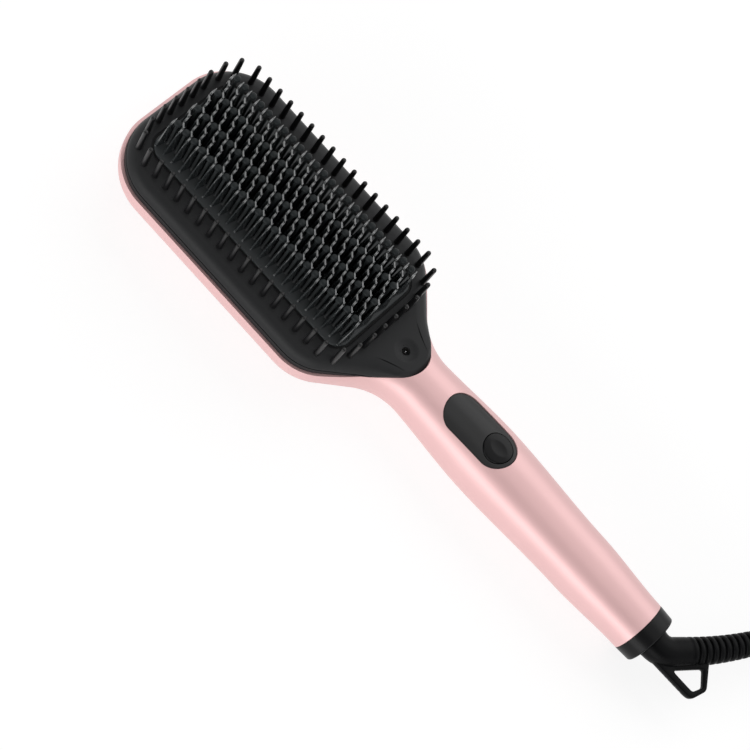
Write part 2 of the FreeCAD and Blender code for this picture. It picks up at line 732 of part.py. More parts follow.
def make_heating_fins():
    """Staggered heated fins: full ones beside the bristles, shorter ones between their rows."""
    columns, lines = field_lines()
    places = []
    for line in range(-lines, lines + 1):
        if line % 2:
            for column in range(-columns - 1, columns + 1):
                places.append(((column + 0.5) * COLUMN_PITCH, line * ROW_Y, FIN_BASE_HALF))
        else:
            for column in range(-columns, columns + 1):
                places.append((column * COLUMN_PITCH, line * ROW_Y, FIN_SHORT_BASE_HALF))
    fins = []
    for x, y, base in places:
        foot = fin_corners(x, y, base, PLATE_TOP_Z)
        crest = fin_corners(x, y, FIN_TOP_HALF, PLATE_TOP_Z + FIN_HEIGHT)
        fins.append(faceted([foot, crest]))
    return Part.makeCompound(fins)


def bristle_places():
    """Places of the ball-tipped bristles: straight columns on every second tooth line."""
    columns, lines = field_lines()
    places = []
    for column in range(-columns, columns + 1):
        for line in range(-lines, lines + 1):
            if line % 2:
                places.append((column * COLUMN_PITCH, line * ROW_Y))
    return places


def make_bristles():
    """Bristle stems and the round tips that sit on them."""
    stem = ((BRISTLE_BASE_R, PLATE_TOP_Z), (BRISTLE_NECK_R, BRISTLE_NECK_Z))
    ball = ((BALL_CROWN_R, BRISTLE_NECK_Z), (BALL_R, BALL_WIDEST_Z), (BALL_CROWN_R, BALL_TOP_Z))
    stems = []
    balls = []
    for x, y in bristle_places():
        stems.append(frustum_stack(x, y, stem, BRISTLE_SIDES))
        balls.append(frustum_stack(x, y, ball, BRISTLE_SIDES))
    return Part.makeCompound(stems), Part.makeCompound(balls)


def make_plate_seal():
    """Soft ring that fills the joint between plate and bezel."""
    z = FACE_Z - BEZEL_WALL
    grow = SEAL_WIDTH
    outer = rounded_rectangle(PLATE_HALF_X + grow, PLATE_HALF_Y + grow, PLATE_CORNER_R + grow, z)
    inner = rounded_rectangle(PLATE_HALF_X, PLATE_HALF_Y, PLATE_CORNER_R, z - OVER)
    return prism(outer, SEAL_TOP_Z).cut(prism(inner, SEAL_TOP_Z + OVER))


def make_plate_carrier():
    """Frame under the plate's flange, screwed to the bezel by four ears."""
    top = PLATE_BOTTOM_Z
    frame = prism(rounded_rectangle(*CARRIER_OUTER_HALF, PLATE_CORNER_R + 2, CARRIER_BOTTOM_Z), top)
    clear = FLANGE_WIDTH + SCREW_PLAY
    keep = prism(rounded_rectangle(PLATE_HALF_X + clear, PLATE_HALF_Y + clear, PLATE_CORNER_R, top), FACE_Z)
    for x, y in mirrored(CARRIER_EAR_X, CARRIER_EAR_Y):
        arm = CARRIER_OUTER_HALF[1] - OVER
        low = min(math.copysign(arm, y), y)
        high = max(math.copysign(arm, y), y)
        ear = post(CARRIER_EAR_R, x, y, CARRIER_BOTTOM_Z, FACE_Z - BEZEL_WALL)
        web = box(x - CARRIER_EAR_R, x + CARRIER_EAR_R, low, high, CARRIER_BOTTOM_Z, top)
        frame = frame.fuse(web).fuse(ear.cut(keep))
    for x, y in mirrored(CARRIER_EAR_X, CARRIER_EAR_Y):
        frame = frame.cut(post(SMALL_SCREW_R + FIT, x, y, CARRIER_BOTTOM_Z - OVER, FACE_Z))
    window = prism(rounded_rectangle(*CARRIER_INNER_HALF, PLATE_CORNER_R, CARRIER_BOTTOM_Z - OVER), FACE_Z)
    return frame.cut(window)


def slab_under(size, top):
    """Flat block centred under the plate."""
    return box(-size[0] / 2, size[0] / 2, -size[1] / 2, size[1] / 2, top - size[2], top)


def screw(x, y, head_z, tip_z):
    """Small pan-head screw driven upwards, its head below the seat."""
    head = post(SMALL_HEAD_R, x, y, head_z - SMALL_HEAD_HEIGHT, head_z)
    slot = box(x - SMALL_HEAD_R, x + SMALL_HEAD_R, y - SLOT_HALF, y + SLOT_HALF,
               head_z - SMALL_HEAD_HEIGHT, head_z - SMALL_HEAD_HEIGHT / 2)
    return head.cut(slot).fuse(post(SMALL_SCREW_R, x, y, head_z, tip_z)).removeSplitter()


def make_heater_stack():
    """Ceramic heater, mica sheet and clamp, with the screws that press them to the plate."""
    heater = slab_under(HEATER_SIZE, PLATE_BOTTOM_Z)
    mica_top = PLATE_BOTTOM_Z - HEATER_SIZE[2]
    mica = slab_under(MICA_SIZE, mica_top)
    clamp_top = mica_top - MICA_SIZE[2]
    clamp = slab_under(CLAMP_SIZE, clamp_top)
    seat = clamp_top - CLAMP_SIZE[2]
    screws = []
    for x, y in mirrored(CLAMP_SCREW_X, CLAMP_SCREW_Y):
        hole = post(SMALL_SCREW_R + FIT, x, y, seat - OVER, PLATE_BOTTOM_Z)
        spacer = post(SMALL_SCREW_R + SPACER_WALL, x, y, clamp_top, PLATE_BOTTOM_Z)
        clamp = clamp.fuse(spacer).cut(hole)
        screws.append(screw(x, y, seat, PLATE_BOTTOM_Z + CLAMP_SCREW_DEPTH))
    return heater, mica, clamp.removeSplitter(), Part.makeCompound(screws), seat


def make_case_screws():
    """Four screws from the back into the bezel's bosses."""
    screws = []
    for x, y in mirrored(CASE_SCREW_X, CASE_SCREW_Y):
        low = CASE_HEAD_Z - CASE_HEAD_HEIGHT
        deep = CASE_HEAD_Z - CASE_HEAD_HEIGHT / 2
        head = post(CASE_HEAD_R, x, y, low, CASE_HEAD_Z)
        cross = box(x - CROSS_HALF, x + CROSS_HALF, y - SLOT_HALF, y + SLOT_HALF, low, deep)
        cross = cross.fuse(box(x - SLOT_HALF, x + SLOT_HALF, y - CROSS_HALF, y + CROSS_HALF, low, deep))
        shank = post(SMALL_SCREW_R, x, y, CASE_HEAD_Z, CASE_BOSS_Z + CASE_SCREW_DEPTH)
        screws.append(head.cut(cross).fuse(shank).removeSplitter())
    return Part.makeCompound(screws)


def make_ion_parts():
    """Potted ion block on the back lid, and the needle in its socket behind the outlet."""
    x0, x1, half, low, top = ION_BLOCK
    x = outlet_x()
    block = box(x0, x1, -half, half, low, top)
    roof = FACE_Z - BEZEL_WALL
    socket = post(SOCKET_R, x, 0, SOCKET_BOTTOM_Z, roof)
    socket = socket.cut(post(NEEDLE_R, x, 0, SOCKET_BOTTOM_Z - OVER, roof + OVER))
    socket = socket.cut(post(OUTLET_HOLE_R, x, 0, roof - SOCKET_MOUTH, roof + OVER))
    shaft = post(NEEDLE_R, x, 0, SOCKET_BOTTOM_Z - NEEDLE_TAIL, roof - NEEDLE_SINK)
    point = Part.makeCone(NEEDLE_R, NEEDLE_POINT_R, NEEDLE_POINT, V(x, 0, roof - NEEDLE_SINK), V(0, 0, 1))
    return block, socket, shaft.fuse(point).removeSplitter()


def make_control_panel():
    """Oval insert that follows the handle's curve, held by a flange under the case."""
    under = grip_body(WALL + PANEL_THICKNESS)
    plug = grip_body(PANEL_RECESS).common(prism(stadium(-PANEL_GAP, PANEL_CUT_Z), FAR))
    flange = grip_body(WALL + FLANGE_GAP).common(prism(stadium(PANEL_FLANGE, PANEL_CUT_Z), FAR))
    panel = plug.fuse(flange).cut(under)
    return panel.cut(post(BUTTON_HOLE_R, BUTTON_X, 0, AXIS_Z, FAR))


def make_power_button():
    """Round button with a dished top, two ears under the panel and a stem above the switch."""
    cap = post(BUTTON_R, BUTTON_X, 0, BUTTON_CAP_Z, FAR).common(grip_body(PANEL_RECESS - BUTTON_PROUD))
    top = AXIS_Z + handle_radius(BUTTON_X) - PANEL_RECESS + BUTTON_PROUD
    centre = V(BUTTON_X, 0, top - BUTTON_DISH_DEPTH + BUTTON_DISH_R)
    cap = cap.cut(Part.makeSphere(BUTTON_DISH_R, centre))
    half_x, half_y = BUTTON_EAR_HALF
    low = BUTTON_CAP_Z - BUTTON_EAR_HEIGHT
    ears = box(BUTTON_X - half_x, BUTTON_X + half_x, -half_y, half_y, low, BUTTON_CAP_Z)
    stem = post(BUTTON_STEM_R, BUTTON_X, 0, PLUNGER_TOP_Z + BUTTON_TRAVEL + STEM_GAP, low)
    return cap.fuse(ears).fuse(stem).removeSplitter()


def make_board_parts():
    """Control board on its posts, with the switch, display, relay and capacitor on it."""
    low, high = BOARD_Z
    half = BOARD_HALF_WIDTH
    board = box(BOARD_X[0], BOARD_X[1], -half, half, low, high)
    screws = []
    for x in POST_X:
        board = board.cut(post(SMALL_SCREW_R + SCREW_PLAY, x, 0, low - OVER, high + OVER))
        shank = post(SMALL_SCREW_R, x, 0, high - BOARD_SCREW_LENGTH, high)
        head = post(SMALL_HEAD_R, x, 0, high, high + SMALL_HEAD_HEIGHT)
        slot = box(x - SMALL_HEAD_R, x + SMALL_HEAD_R, -SLOT_HALF, SLOT_HALF,
                   high + SMALL_HEAD_HEIGHT / 2, high + SMALL_HEAD_HEIGHT)
        screws.append(head.cut(slot).fuse(shank).removeSplitter())
    reach = SWITCH_HALF
    switch = box(BUTTON_X - reach, BUTTON_X + reach, -reach, reach, high, SWITCH_TOP_Z)
    switch = switch.fuse(post(PLUNGER_R, BUTTON_X, 0, SWITCH_TOP_Z, PLUNGER_TOP_Z))
    wide = DISPLAY_HALF_WIDTH
    display = box(DISPLAY_X[0], DISPLAY_X[1], -wide, wide, high, DISPLAY_TOP_Z)
    relay = box(RELAY_X[0], RELAY_X[1], -RELAY_HALF_WIDTH, RELAY_HALF_WIDTH, high, RELAY_TOP_Z)
    top_edges = [edge for edge in relay.Edges if edge.BoundBox.ZMin > RELAY_TOP_Z - 1e-6]
    relay = relay.makeFillet(RELAY_EDGE_R, top_edges)
    capacitor = post(CAPACITOR_R, CAPACITOR_X, 0, high, CAPACITOR_TOP_Z)
    return board, switch, display, relay, capacitor, Part.makeCompound(screws)


def make_end_collar():
    """Ring that closes the handle, with a spigot inside it and the swivel's bore."""
    run = COLLAR_END_X - END_STATION[0]
    ring = Part.makeCone(END_STATION[1], COLLAR_END_R, run, V(END_STATION[0], 0, AXIS_Z), V(1, 0, 0))
    rim = [edge for edge in ring.Edges if edge.BoundBox.XMin > COLLAR_END_X - 1e-6]
    ring = ring.makeFillet(COLLAR_EDGE_R, rim)
    collar = ring.fuse(rod(SPIGOT_R, SPIGOT_X, END_STATION[0] + OVER))
    return collar.cut(rod(BORE_R, SPIGOT_X - OVER, COLLAR_END_X + OVER)).removeSplitter()


def make_swivel_parts():
    """Hub that turns in the collar, its slip rings, and the contacts that ride on them."""
    hub = rod(HUB_FLANGE_R, *HUB_FLANGE_X)
    hub = hub.fuse(rod(HUB_R, HUB_FLANGE_X[1], HUB_END_X))
    hub = hub.fuse(rod(SHAFT_R, SHAFT_X, HUB_FLANGE_X[0])).removeSplitter()
    rings = []
    brushes = []
    for x in RING_X:
        ring = rod(RING_R, x, x + RING_WIDTH).cut(rod(SHAFT_R, x - OVER, x + RING_WIDTH + OVER))
        rings.append(ring)
        top = AXIS_Z - RING_R - BRUSH_GAP
        low_x = x + BRUSH_MARGIN
        high_x = x + RING_WIDTH - BRUSH_MARGIN
        brushes.append(box(low_x, high_x, -BRUSH_HALF_WIDTH, BRUSH_HALF_WIDTH, BLOCK_TOP_Z, top))
    bore = handle_radius(BLOCK_X[1]) - WALL - FIT
    foot = AXIS_Z - math.sqrt(bore ** 2 - BLOCK_HALF_WIDTH ** 2)
    block = box(BLOCK_X[0], BLOCK_X[1], -BLOCK_HALF_WIDTH, BLOCK_HALF_WIDTH, foot, BLOCK_TOP_Z)
    return hub, Part.makeCompound(rings), block, Part.makeCompound(brushes)


def ring_at(centre, heading, radius):
    """Circle square to a level heading; its seam is always on top."""
    axis = V(math.cos(heading), math.sin(heading), 0)
    place = FreeCAD.Placement(centre, FreeCAD.Rotation(V(0, 0, 1), V(-axis.y, axis.x, 0), axis, "ZYX"))
    edge = Part.makeCircle(radius)
    edge.Placement = place
    return Part.Wire(edge)


def elbow_point(run):
    """Place and heading on the elbow's middle line, a run past the bend's corner."""
    return V(ELBOW_X + run * math.cos(ELBOW_TURN), run * math.sin(ELBOW_TURN), AXIS_Z)


def boot_point(run):
    """Place and heading on the boot's gently curved middle line."""
    start = elbow_point(ELBOW_EXIT)
    heading = ELBOW_TURN + run / BOOT_BEND_R
    x = start.x + BOOT_BEND_R * (math.sin(heading) - math.sin(ELBOW_TURN))
    y = start.y + BOOT_BEND_R * (math.cos(ELBOW_TURN) - math.cos(heading))
    return V(x, y, AXIS_Z), heading


def boot_length():
    """Length of the ribbed part with its plain tail."""
    return RIB_COUNT * RIB_PITCH + BOOT_TAIL


def make_cord_boot():
    """One moulding: elbow on the hub, hanging loop on its outer side, and the ribbed strain relief."""
    reach = ELBOW_R * math.tan(ELBOW_TURN / 2)
    rings = [ring_at(V(HUB_END_X, 0, AXIS_Z), 0.0, ELBOW_START_R)]
    steps = 4
    for index in range(steps + 1):
        heading = ELBOW_TURN * index / steps
        x = ELBOW_X - reach + ELBOW_R * math.sin(heading)
        y = ELBOW_R * (1 - math.cos(heading))
        radius = mix(ELBOW_START_R, ELBOW_EXIT_R, 0.2 + 0.6 * index / steps)
        rings.append(ring_at(V(x, y, AXIS_Z), heading, radius))
    rings.append(ring_at(elbow_point(ELBOW_EXIT), ELBOW_TURN, ELBOW_EXIT_R))
    elbow = Part.makeLoft(rings, True, False)
    total = boot_length()
    rib_rings = []
    for index in range(RIB_COUNT):
        start = index * RIB_PITCH
        for run, sunk in ((0.0, 0.0), (RIB_CREST, 0.0), (RIB_CREST + RIB_FLANK, RIB_DEPTH),
                          (RIB_PITCH - RIB_FLANK, RIB_DEPTH)):
            centre, heading = boot_point(start + run)
            radius = mix(ELBOW_EXIT_R, BOOT_END_R, (start + run) / total) - sunk
            rib_rings.append(ring_at(centre, heading, radius))
    for run in (RIB_COUNT * RIB_PITCH, total):
        centre, heading = boot_point(run)
        rib_rings.append(ring_at(centre, heading, mix(ELBOW_EXIT_R, BOOT_END_R, run / total)))
    ribs = Part.makeLoft(rib_rings, True, True)
    low = AXIS_Z - LOOP_HALF_THICKNESS
    high = AXIS_Z + LOOP_HALF_THICKNESS
    loop = prism(rounded_outline(LOOP_OUTER, LOOP_OUTER_R, low), high)
    loop = loop.cut(prism(rounded_outline(LOOP_HOLE, LOOP_HOLE_R, low - OVER), high + OVER))
    return elbow.fuse(ribs).fuse(loop).removeSplitter()


def rounded_route(points):
    """Straight runs joined by tangent arcs; also returns the least bend radius."""
    edges = []
    least = 1e9
    start = points[0]
    for index in range(1, len(points) - 1):
        back = points[index - 1] - points[index]
        ahead = points[index + 1] - points[index]
        run = min(back.Length, ahead.Length)
        back.normalize()
        ahead.normalize()
        half = math.acos(max(-1.0, min(1.0, back.dot(ahead)))) / 2
        reach = ROUTE_ROUNDING * run
        radius = reach * math.tan(half)
        least = min(least, radius)
        first = points[index] + back * reach
        last = points[index] + ahead * reach
        bisector = (back + ahead).normalize()
        middle = points[index] + bisector * (radius / math.sin(half) - radius)
        edges.append(Part.makeLine(start, first))
        edges.append(Part.Arc(first, middle, last).toShape())
        start = last
    edges.append(Part.makeLine(start, points[-1]))
    return Part.Wire(edges), least


def biarc(start, start_way, end, end_way):
    """Two tangent arcs between two places with given headings."""
    gap = end - start
    ways = start_way + end_way
    across = 2 * (1 - start_way.dot(end_way))
    along = gap.dot(ways)
    if abs(across) < 1e-9:
        reach = gap.Length / 4
    else:
        reach = (math.sqrt(along ** 2 + across * gap.dot(gap)) - along) / across
    first = start + start_way * reach
    last = end - end_way * reach
    joint = (first + last) * 0.5
    edges = []
    for a, corner, b in ((start, first, joint), (joint, last, end)):
        back = (a - corner).normalize()
        ahead = (b - corner).normalize()
        half = math.acos(max(-1.0, min(1.0, back.dot(ahead)))) / 2
        if half > math.pi / 2 - 1e-5:
            edges.append(Part.makeLine(a, b))
            continue
        radius = (a - corner).Length * math.tan(half)
        middle = corner + (back + ahead).normalize() * (radius / math.sin(half) - radius)
        edges.append(Part.Arc(a, middle, b).toShape())
    return edges


def tube(path, radius):
    """Round tube along a path."""
    edge = path.Edges[0]
    begin = edge.valueAt(edge.FirstParameter)
    way = edge.tangentAt(edge.FirstParameter)
    profile = Part.Wire(Part.makeCircle(radius, begin, way))
    return path.makePipeShell([profile], True, False)


def cord_points():
    """Route of the free cord from the boot's end down to the floor and on to the coil."""
    point, heading = boot_point(boot_length())
    points = [point]
    for run, turn, fall in CORD_DROP:
        heading += math.radians(turn)
        point = point + V(run * math.cos(heading), run * math.sin(heading), fall)
        points.append(point)
    way = V(points[-1].x - points[-2].x, points[-1].y - points[-2].y, 0).normalize()
    last = points[-1] + way * CORD_LAST_RUN + V(-CORD_LAST_SHIFT * way.y, CORD_LAST_SHIFT * way.x, 0)
    points.append(V(last.x, last.y, COIL_BASE_Z))
    return points


def coil_state(turns):
    """Radius and height of the coil's middle line after some turns: in on the floor, out on top."""
    into = COIL_IN_TURNS
    flip = into + COIL_FLIP_TURNS
    out = coil_frame()[2] - COIL_LEAD_TURNS
    inner = COIL_OUTER_R - COIL_STEP * into
    upper = COIL_BASE_Z + COIL_LAYER
    if turns <= into:
        return COIL_OUTER_R - COIL_STEP * turns, COIL_BASE_Z
    if turns <= flip:
        share = (turns - into) / COIL_FLIP_TURNS
        dip = COIL_STEP * COIL_FLIP_TURNS * (share * share - share)
        return inner + dip, mix(COIL_BASE_Z, upper, smooth(share))
    if turns <= out:
        return inner + COIL_STEP * (turns - flip), upper
    share = (turns - out) / COIL_LEAD_TURNS
    widest = inner + COIL_STEP * (out - flip)
    steady = COIL_STEP * COIL_LEAD_TURNS
    grow = steady * share + (COIL_LEAD_GROWTH - steady) * smooth(share)
    fall = smooth((share - COIL_LEAD_LEVEL) / (1 - COIL_LEAD_LEVEL))
    return widest + grow, mix(upper, PLUG_AXIS_Z, fall)


def coil_frame():
    """Centre of the coil, its first angle and its number of turns, which run with the clock."""
    points = cord_points()
    way = V(points[-1].x - points[-2].x, points[-1].y - points[-2].y, 0).normalize()
    start = points[-1] + way * COIL_END_STRAIGHT
    first = math.atan2(way.y, way.x) + math.pi / 2
    centre = V(start.x - COIL_OUTER_R * math.cos(first), start.y - COIL_OUTER_R * math.sin(first), 0)
    spare = (first - PLUG_HEADING - math.pi / 2) / (2 * math.pi) % 1
    return centre, first, COIL_WHOLE_TURNS + spare


def coil_point(turns):
    """Place on the coil's middle line."""
    centre, first, total = coil_frame()
    radius, height = coil_state(turns)
    angle = first - 2 * math.pi * turns
    return V(centre.x + radius * math.cos(angle), centre.y + radius * math.sin(angle), height)


def coil_way(turns):
    """Heading of the coil's middle line; level and square to the radius at both ends."""
    centre, first, total = coil_frame()
    if turns <= 0 or turns >= total:
        angle = first - 2 * math.pi * turns - math.pi / 2
        return V(math.cos(angle), math.sin(angle), 0)
    step = 1e-4
    return (coil_point(turns + step) - coil_point(turns - step)).normalize()


def make_coil():
    """The put-away cord as one unbroken tube of piled loops with straight ends."""
    centre, first, total = coil_frame()
    stops = [0.0]
    outward = total - COIL_IN_TURNS - COIL_FLIP_TURNS - COIL_LEAD_TURNS
    spans = (COIL_IN_TURNS, COIL_FLIP_TURNS, outward, COIL_LEAD_TURNS)
    for span, parts in zip(spans, COIL_SPAN_ARCS):
        begin = stops[-1]
        stops.extend(begin + span * (index + 1) / parts for index in range(parts))
    start = coil_point(0)
    end = coil_point(total)
    edges = [Part.makeLine(start - coil_way(0) * COIL_END_STRAIGHT, start)]
    for begin, stop in zip(stops, stops[1:]):
        edges.extend(biarc(coil_point(begin), coil_way(begin), coil_point(stop), coil_way(stop)))
    edges.append(Part.makeLine(end, end + coil_way(total) * COIL_END_STRAIGHT))
    path = Part.Wire(edges)
    return tube(path, CORD_R), path


def least_self_gap(path):
    """Least clear space between stretches of the coil that are not neighbours along it."""
    points = path.discretize(Distance=GAP_SAMPLE)
    skip = int(GAP_SKIP * CORD_R / GAP_SAMPLE)
    least = 1e9
    for index, point in enumerate(points):
        for other in points[index + skip:]:
            least = min(least, point.distanceToPoint(other))
    return least - 2 * CORD_R


def make_cord_tie(path):
    """Band round all the loops at one place of the coil."""
    centre, first, total = coil_frame()
    radii = []
    heights = []
    for point in path.discretize(Distance=TIE_SAMPLE):
        dx = point.x - centre.x
        dy = point.y - centre.y
        along = dx * math.cos(TIE_ANGLE) + dy * math.sin(TIE_ANGLE)
        across = dy * math.cos(TIE_ANGLE) - dx * math.sin(TIE_ANGLE)
        if along > 0 and abs(across) < TIE_LENGTH:
            radii.append(math.hypot(dx, dy))
            heights.append(point.z)
    low = min(radii) - CORD_R - 2 * TIE_CLEARANCE
    high = max(radii) + CORD_R + 2 * TIE_CLEARANCE
    base = min(heights) - CORD_R - TIE_CLEARANCE
    top = max(heights) + CORD_R + TIE_CLEARANCE
    half = TIE_LENGTH / 2
    wall = TIE_THICKNESS
    outer = box(low - wall, high + wall, -half, half, base - wall, top + wall)
    band = outer.cut(box(low, high, -half - OVER, half + OVER, base, top))
    band.rotate(V(0, 0, 0), V(0, 0, 1), math.degrees(TIE_ANGLE))
    band.translate(V(centre.x, centre.y, 0))
    return band


def make_plug():
    """Plain two-pin plug on the coil's free end: tapered neck, rounded body and round pins."""
    total = coil_frame()[2]
    way = coil_way(total)
    neck = Part.makeCone(CORD_R + PLUG_NECK_WALL, PLUG_NECK_R, PLUG_NECK, V(0, 0, 0), V(1, 0, 0))
    wide = PLUG_HALF_WIDTH
    tall = PLUG_HALF_HEIGHT
    body = box(PLUG_NECK, PLUG_NECK + PLUG_BODY, -wide, wide, -tall, tall)
    along = [edge for edge in body.Edges if edge.BoundBox.XLength > PLUG_BODY / 2]
    lengthwise = [edge for edge in along if edge.BoundBox.YLength + edge.BoundBox.ZLength < 1e-6]
    body = body.makeFillet(PLUG_SIDE_R, lengthwise)
    shoulder = [edge for edge in body.Edges if edge.BoundBox.XMax < PLUG_NECK + 1e-6]
    body = body.makeFillet(PLUG_SHOULDER_R, shoulder).fuse(neck).removeSplitter()
    pins = []
    front = PLUG_NECK + PLUG_BODY
    for side in (-1, 1):
        y = side * PLUG_PIN_SPACING / 2
        pins.append(rod(PLUG_PIN_R, front, front + PLUG_PIN_LENGTH, y, 0))
    pins = Part.makeCompound(pins)
    place = coil_point(total) + way * COIL_END_STRAIGHT
    for shape in (body, pins):
        shape.rotate(V(0, 0, 0), V(0, 0, 1), math.degrees(math.atan2(way.y, way.x)))
        shape.translate(place)
    return body, pins


def build():
    """All nodes by name."""
    nodes = {}
    nodes["front_shell"], nodes["back_cover"] = make_case()
    nodes["front_bezel"] = make_front_bezel()
    nodes["guard_pins"] = make_guard_pins()
    nodes["heating_plate"] = make_heating_plate()
    nodes["heating_fins"] = make_heating_fins()
    nodes["bristle_stems"], nodes["bristle_tips"] = make_bristles()
    nodes["plate_seal"] = make_plate_seal()
    nodes["plate_carrier"] = make_plate_carrier()
    carrier_screws = []
    for x, y in mirrored(CARRIER_EAR_X, CARRIER_EAR_Y):
        carrier_screws.append(screw(x, y, CARRIER_BOTTOM_Z, CARRIER_SCREW_TIP_Z))
    nodes["carrier_screws"] = Part.makeCompound(carrier_screws)
    heater, mica, clamp, clamp_screws, seat = make_heater_stack()
    nodes["heater_element"] = heater
    nodes["mica_sheet"] = mica
    nodes["heater_clamp"] = clamp
    nodes["clamp_screws"] = clamp_screws
    nodes["thermal_fuse"] = rod(FUSE_R, *FUSE_X, 0, seat - FUSE_R)
    nodes["thermistor"] = rod(THERMISTOR_R, *THERMISTOR_X, 0, seat - THERMISTOR_R)
    nodes["case_screws"] = make_case_screws()
    nodes["ion_generator"], nodes["ion_socket"], nodes["ion_needle"] = make_ion_parts()
    nodes["control_panel"] = make_control_panel()
    nodes["power_button"] = make_power_button()
    board, switch, display, relay, capacitor, board_screws = make_board_parts()
    nodes["control_board"] = board
    nodes["tact_switch"] = switch
    nodes["display_module"] = display
    nodes["board_relay"] = relay
    nodes["board_capacitor"] = capacitor
    nodes["board_screws"] = board_screws
    nodes["end_collar"] = make_end_collar()
    hub, rings, block, brushes = make_swivel_parts()
    nodes["swivel_hub"] = hub
    nodes["slip_rings"] = rings
    nodes["contact_block"] = block
    nodes["contact_brushes"] = brushes
    nodes["cord_boot"] = make_cord_boot()
    route, least = rounded_route(cord_points())
    nodes["power_cord"] = tube(route, CORD_R)
    nodes["cord_coil"], path = make_coil()
    nodes["cord_tie"] = make_cord_tie(path)
    nodes["plug_body"], nodes["plug_pins"] = make_plug()
    section_area = math.pi * CORD_R ** 2
    print("cord: least bend radius %.1f, length %.1f, volume ratio %.4f"
          % (least, route.Length, nodes["power_cord"].Volume / (section_area * route.Length)))
    print("coil: length %.1f, volume ratio %.4f, least self gap %.2f"
          % (path.Length, nodes["cord_coil"].Volume / (section_area * path.Length), least_self_gap(path)))
    return nodes


os.makedirs("parts", exist_ok=True)
for name, shape in build().items():
    shape.translate(V(-MID_X, 0, 0))
    shape.exportStep("parts/" + name + ".step")
    bounds = shape.BoundBox
    print("%-16s solids %3d valid %s  x %7.2f %7.2f  y %7.2f %7.2f  z %6.2f %6.2f" % (
        name, len(shape.Solids), shape.isValid(), bounds.XMin, bounds.XMax, bounds.YMin, bounds.YMax,
        bounds.ZMin, bounds.ZMax))
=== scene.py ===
"""Heated straightening brush: the visual model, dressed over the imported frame."""

import json
import logging
import math
from dataclasses import dataclass, field
from enum import Enum
from typing import Optional

import bmesh
import bpy
import numpy as np
from mathutils import Matrix, Vector


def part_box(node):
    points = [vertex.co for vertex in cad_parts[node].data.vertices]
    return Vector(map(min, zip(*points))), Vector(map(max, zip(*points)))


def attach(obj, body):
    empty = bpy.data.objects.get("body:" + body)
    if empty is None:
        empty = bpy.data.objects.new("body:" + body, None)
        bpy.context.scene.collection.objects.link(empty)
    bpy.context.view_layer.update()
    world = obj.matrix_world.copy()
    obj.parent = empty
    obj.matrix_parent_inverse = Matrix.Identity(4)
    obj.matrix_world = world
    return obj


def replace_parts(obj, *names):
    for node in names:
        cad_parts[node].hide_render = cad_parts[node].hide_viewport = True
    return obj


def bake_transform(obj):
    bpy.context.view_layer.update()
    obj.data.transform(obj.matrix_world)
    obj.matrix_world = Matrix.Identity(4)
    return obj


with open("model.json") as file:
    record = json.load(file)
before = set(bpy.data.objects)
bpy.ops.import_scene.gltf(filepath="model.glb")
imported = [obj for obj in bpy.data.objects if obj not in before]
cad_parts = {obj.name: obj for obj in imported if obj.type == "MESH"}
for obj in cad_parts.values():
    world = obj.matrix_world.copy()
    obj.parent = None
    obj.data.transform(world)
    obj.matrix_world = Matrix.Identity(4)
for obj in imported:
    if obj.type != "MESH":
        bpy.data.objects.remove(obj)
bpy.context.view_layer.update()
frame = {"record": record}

Array = np.ndarray
Pair = tuple[float, float]
Triple = tuple[float, float, float]
Rows = tuple[Pair, ...]
Outline = tuple[Array, Array]
Object = bpy.types.Object
LOG = logging.getLogger("brush")
TURN = 2 * math.pi
WHITE = (1.0, 1.0, 1.0, 1.0)
MIRROR_Y = np.array((1.0, -1.0, 1.0))

# The shared frame is in metres, as is the distance within which points are merged.
MM = 0.001
WELD = 2e-6

# Margins that keep a division or a search off its limit.
SLACK = 1e-6
LEAST_SHARE = 1e-9
MOST_SHARE = 1 - 1e-12
LEAST_RADIUS = 0.05


def node_centre_x(node: str) -> float:
    """Middle of a node's box along X, in mm."""
    low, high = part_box(node)
    return (low.x + high.x) / 2 / MM


# All sizes are in mm on the head's own axes; the plate's middle is their origin along X.
HEAD_X = node_centre_x("heating_plate")
HEAD_PLACE = np.array((HEAD_X, 0.0, 0.0))


def in_frame(points: Array) -> Array:
    """Points of the head's axes, in mm, as places of the shared frame, in metres."""
    return (np.asarray(points, dtype=float) + HEAD_PLACE) * MM


def smooth(value: Array) -> Array:
    """Ease from 0 to 1: three times the square less twice the cube."""
    share = np.clip(value, 0.0, 1.0)
    return share * share * (3 - 2 * share)


def mix(first: Array, second: Array, share: Array) -> Array:
    """Straight blend from first to second."""
    return first + (second - first) * share


def unit(vectors: Array) -> Array:
    """Vectors scaled to length one along the last axis."""
    return vectors / np.linalg.norm(vectors, axis=-1, keepdims=True)


def stacked(x: Array, y: Array, z: Array) -> Array:
    """Three coordinate arrays, broadcast together, as one array of points."""
    return np.stack(np.broadcast_arrays(x, y, z), axis=-1).astype(float)


def raised(plan: Array, z: Array) -> Array:
    """Points over places of the plan, at heights."""
    return stacked(plan[..., 0], plan[..., 1], z)


def steps_round(count: int) -> Array:
    """Angles at even steps round one turn."""
    return np.linspace(0.0, TURN, count, endpoint=False)


def quarter(count: int) -> Array:
    """Angles at even steps over a quarter turn, both ends included."""
    return np.radians(np.linspace(0.0, 90.0, count))


def ways(angle: Array) -> Array:
    """Directions of the plan at angles."""
    return np.stack((np.cos(angle), np.sin(angle)), axis=-1)


def ring_closed(grid: Array) -> Array:
    """The grid with its first row repeated at the end, so that its profile closes on itself."""
    return np.concatenate((grid, grid[:1]))


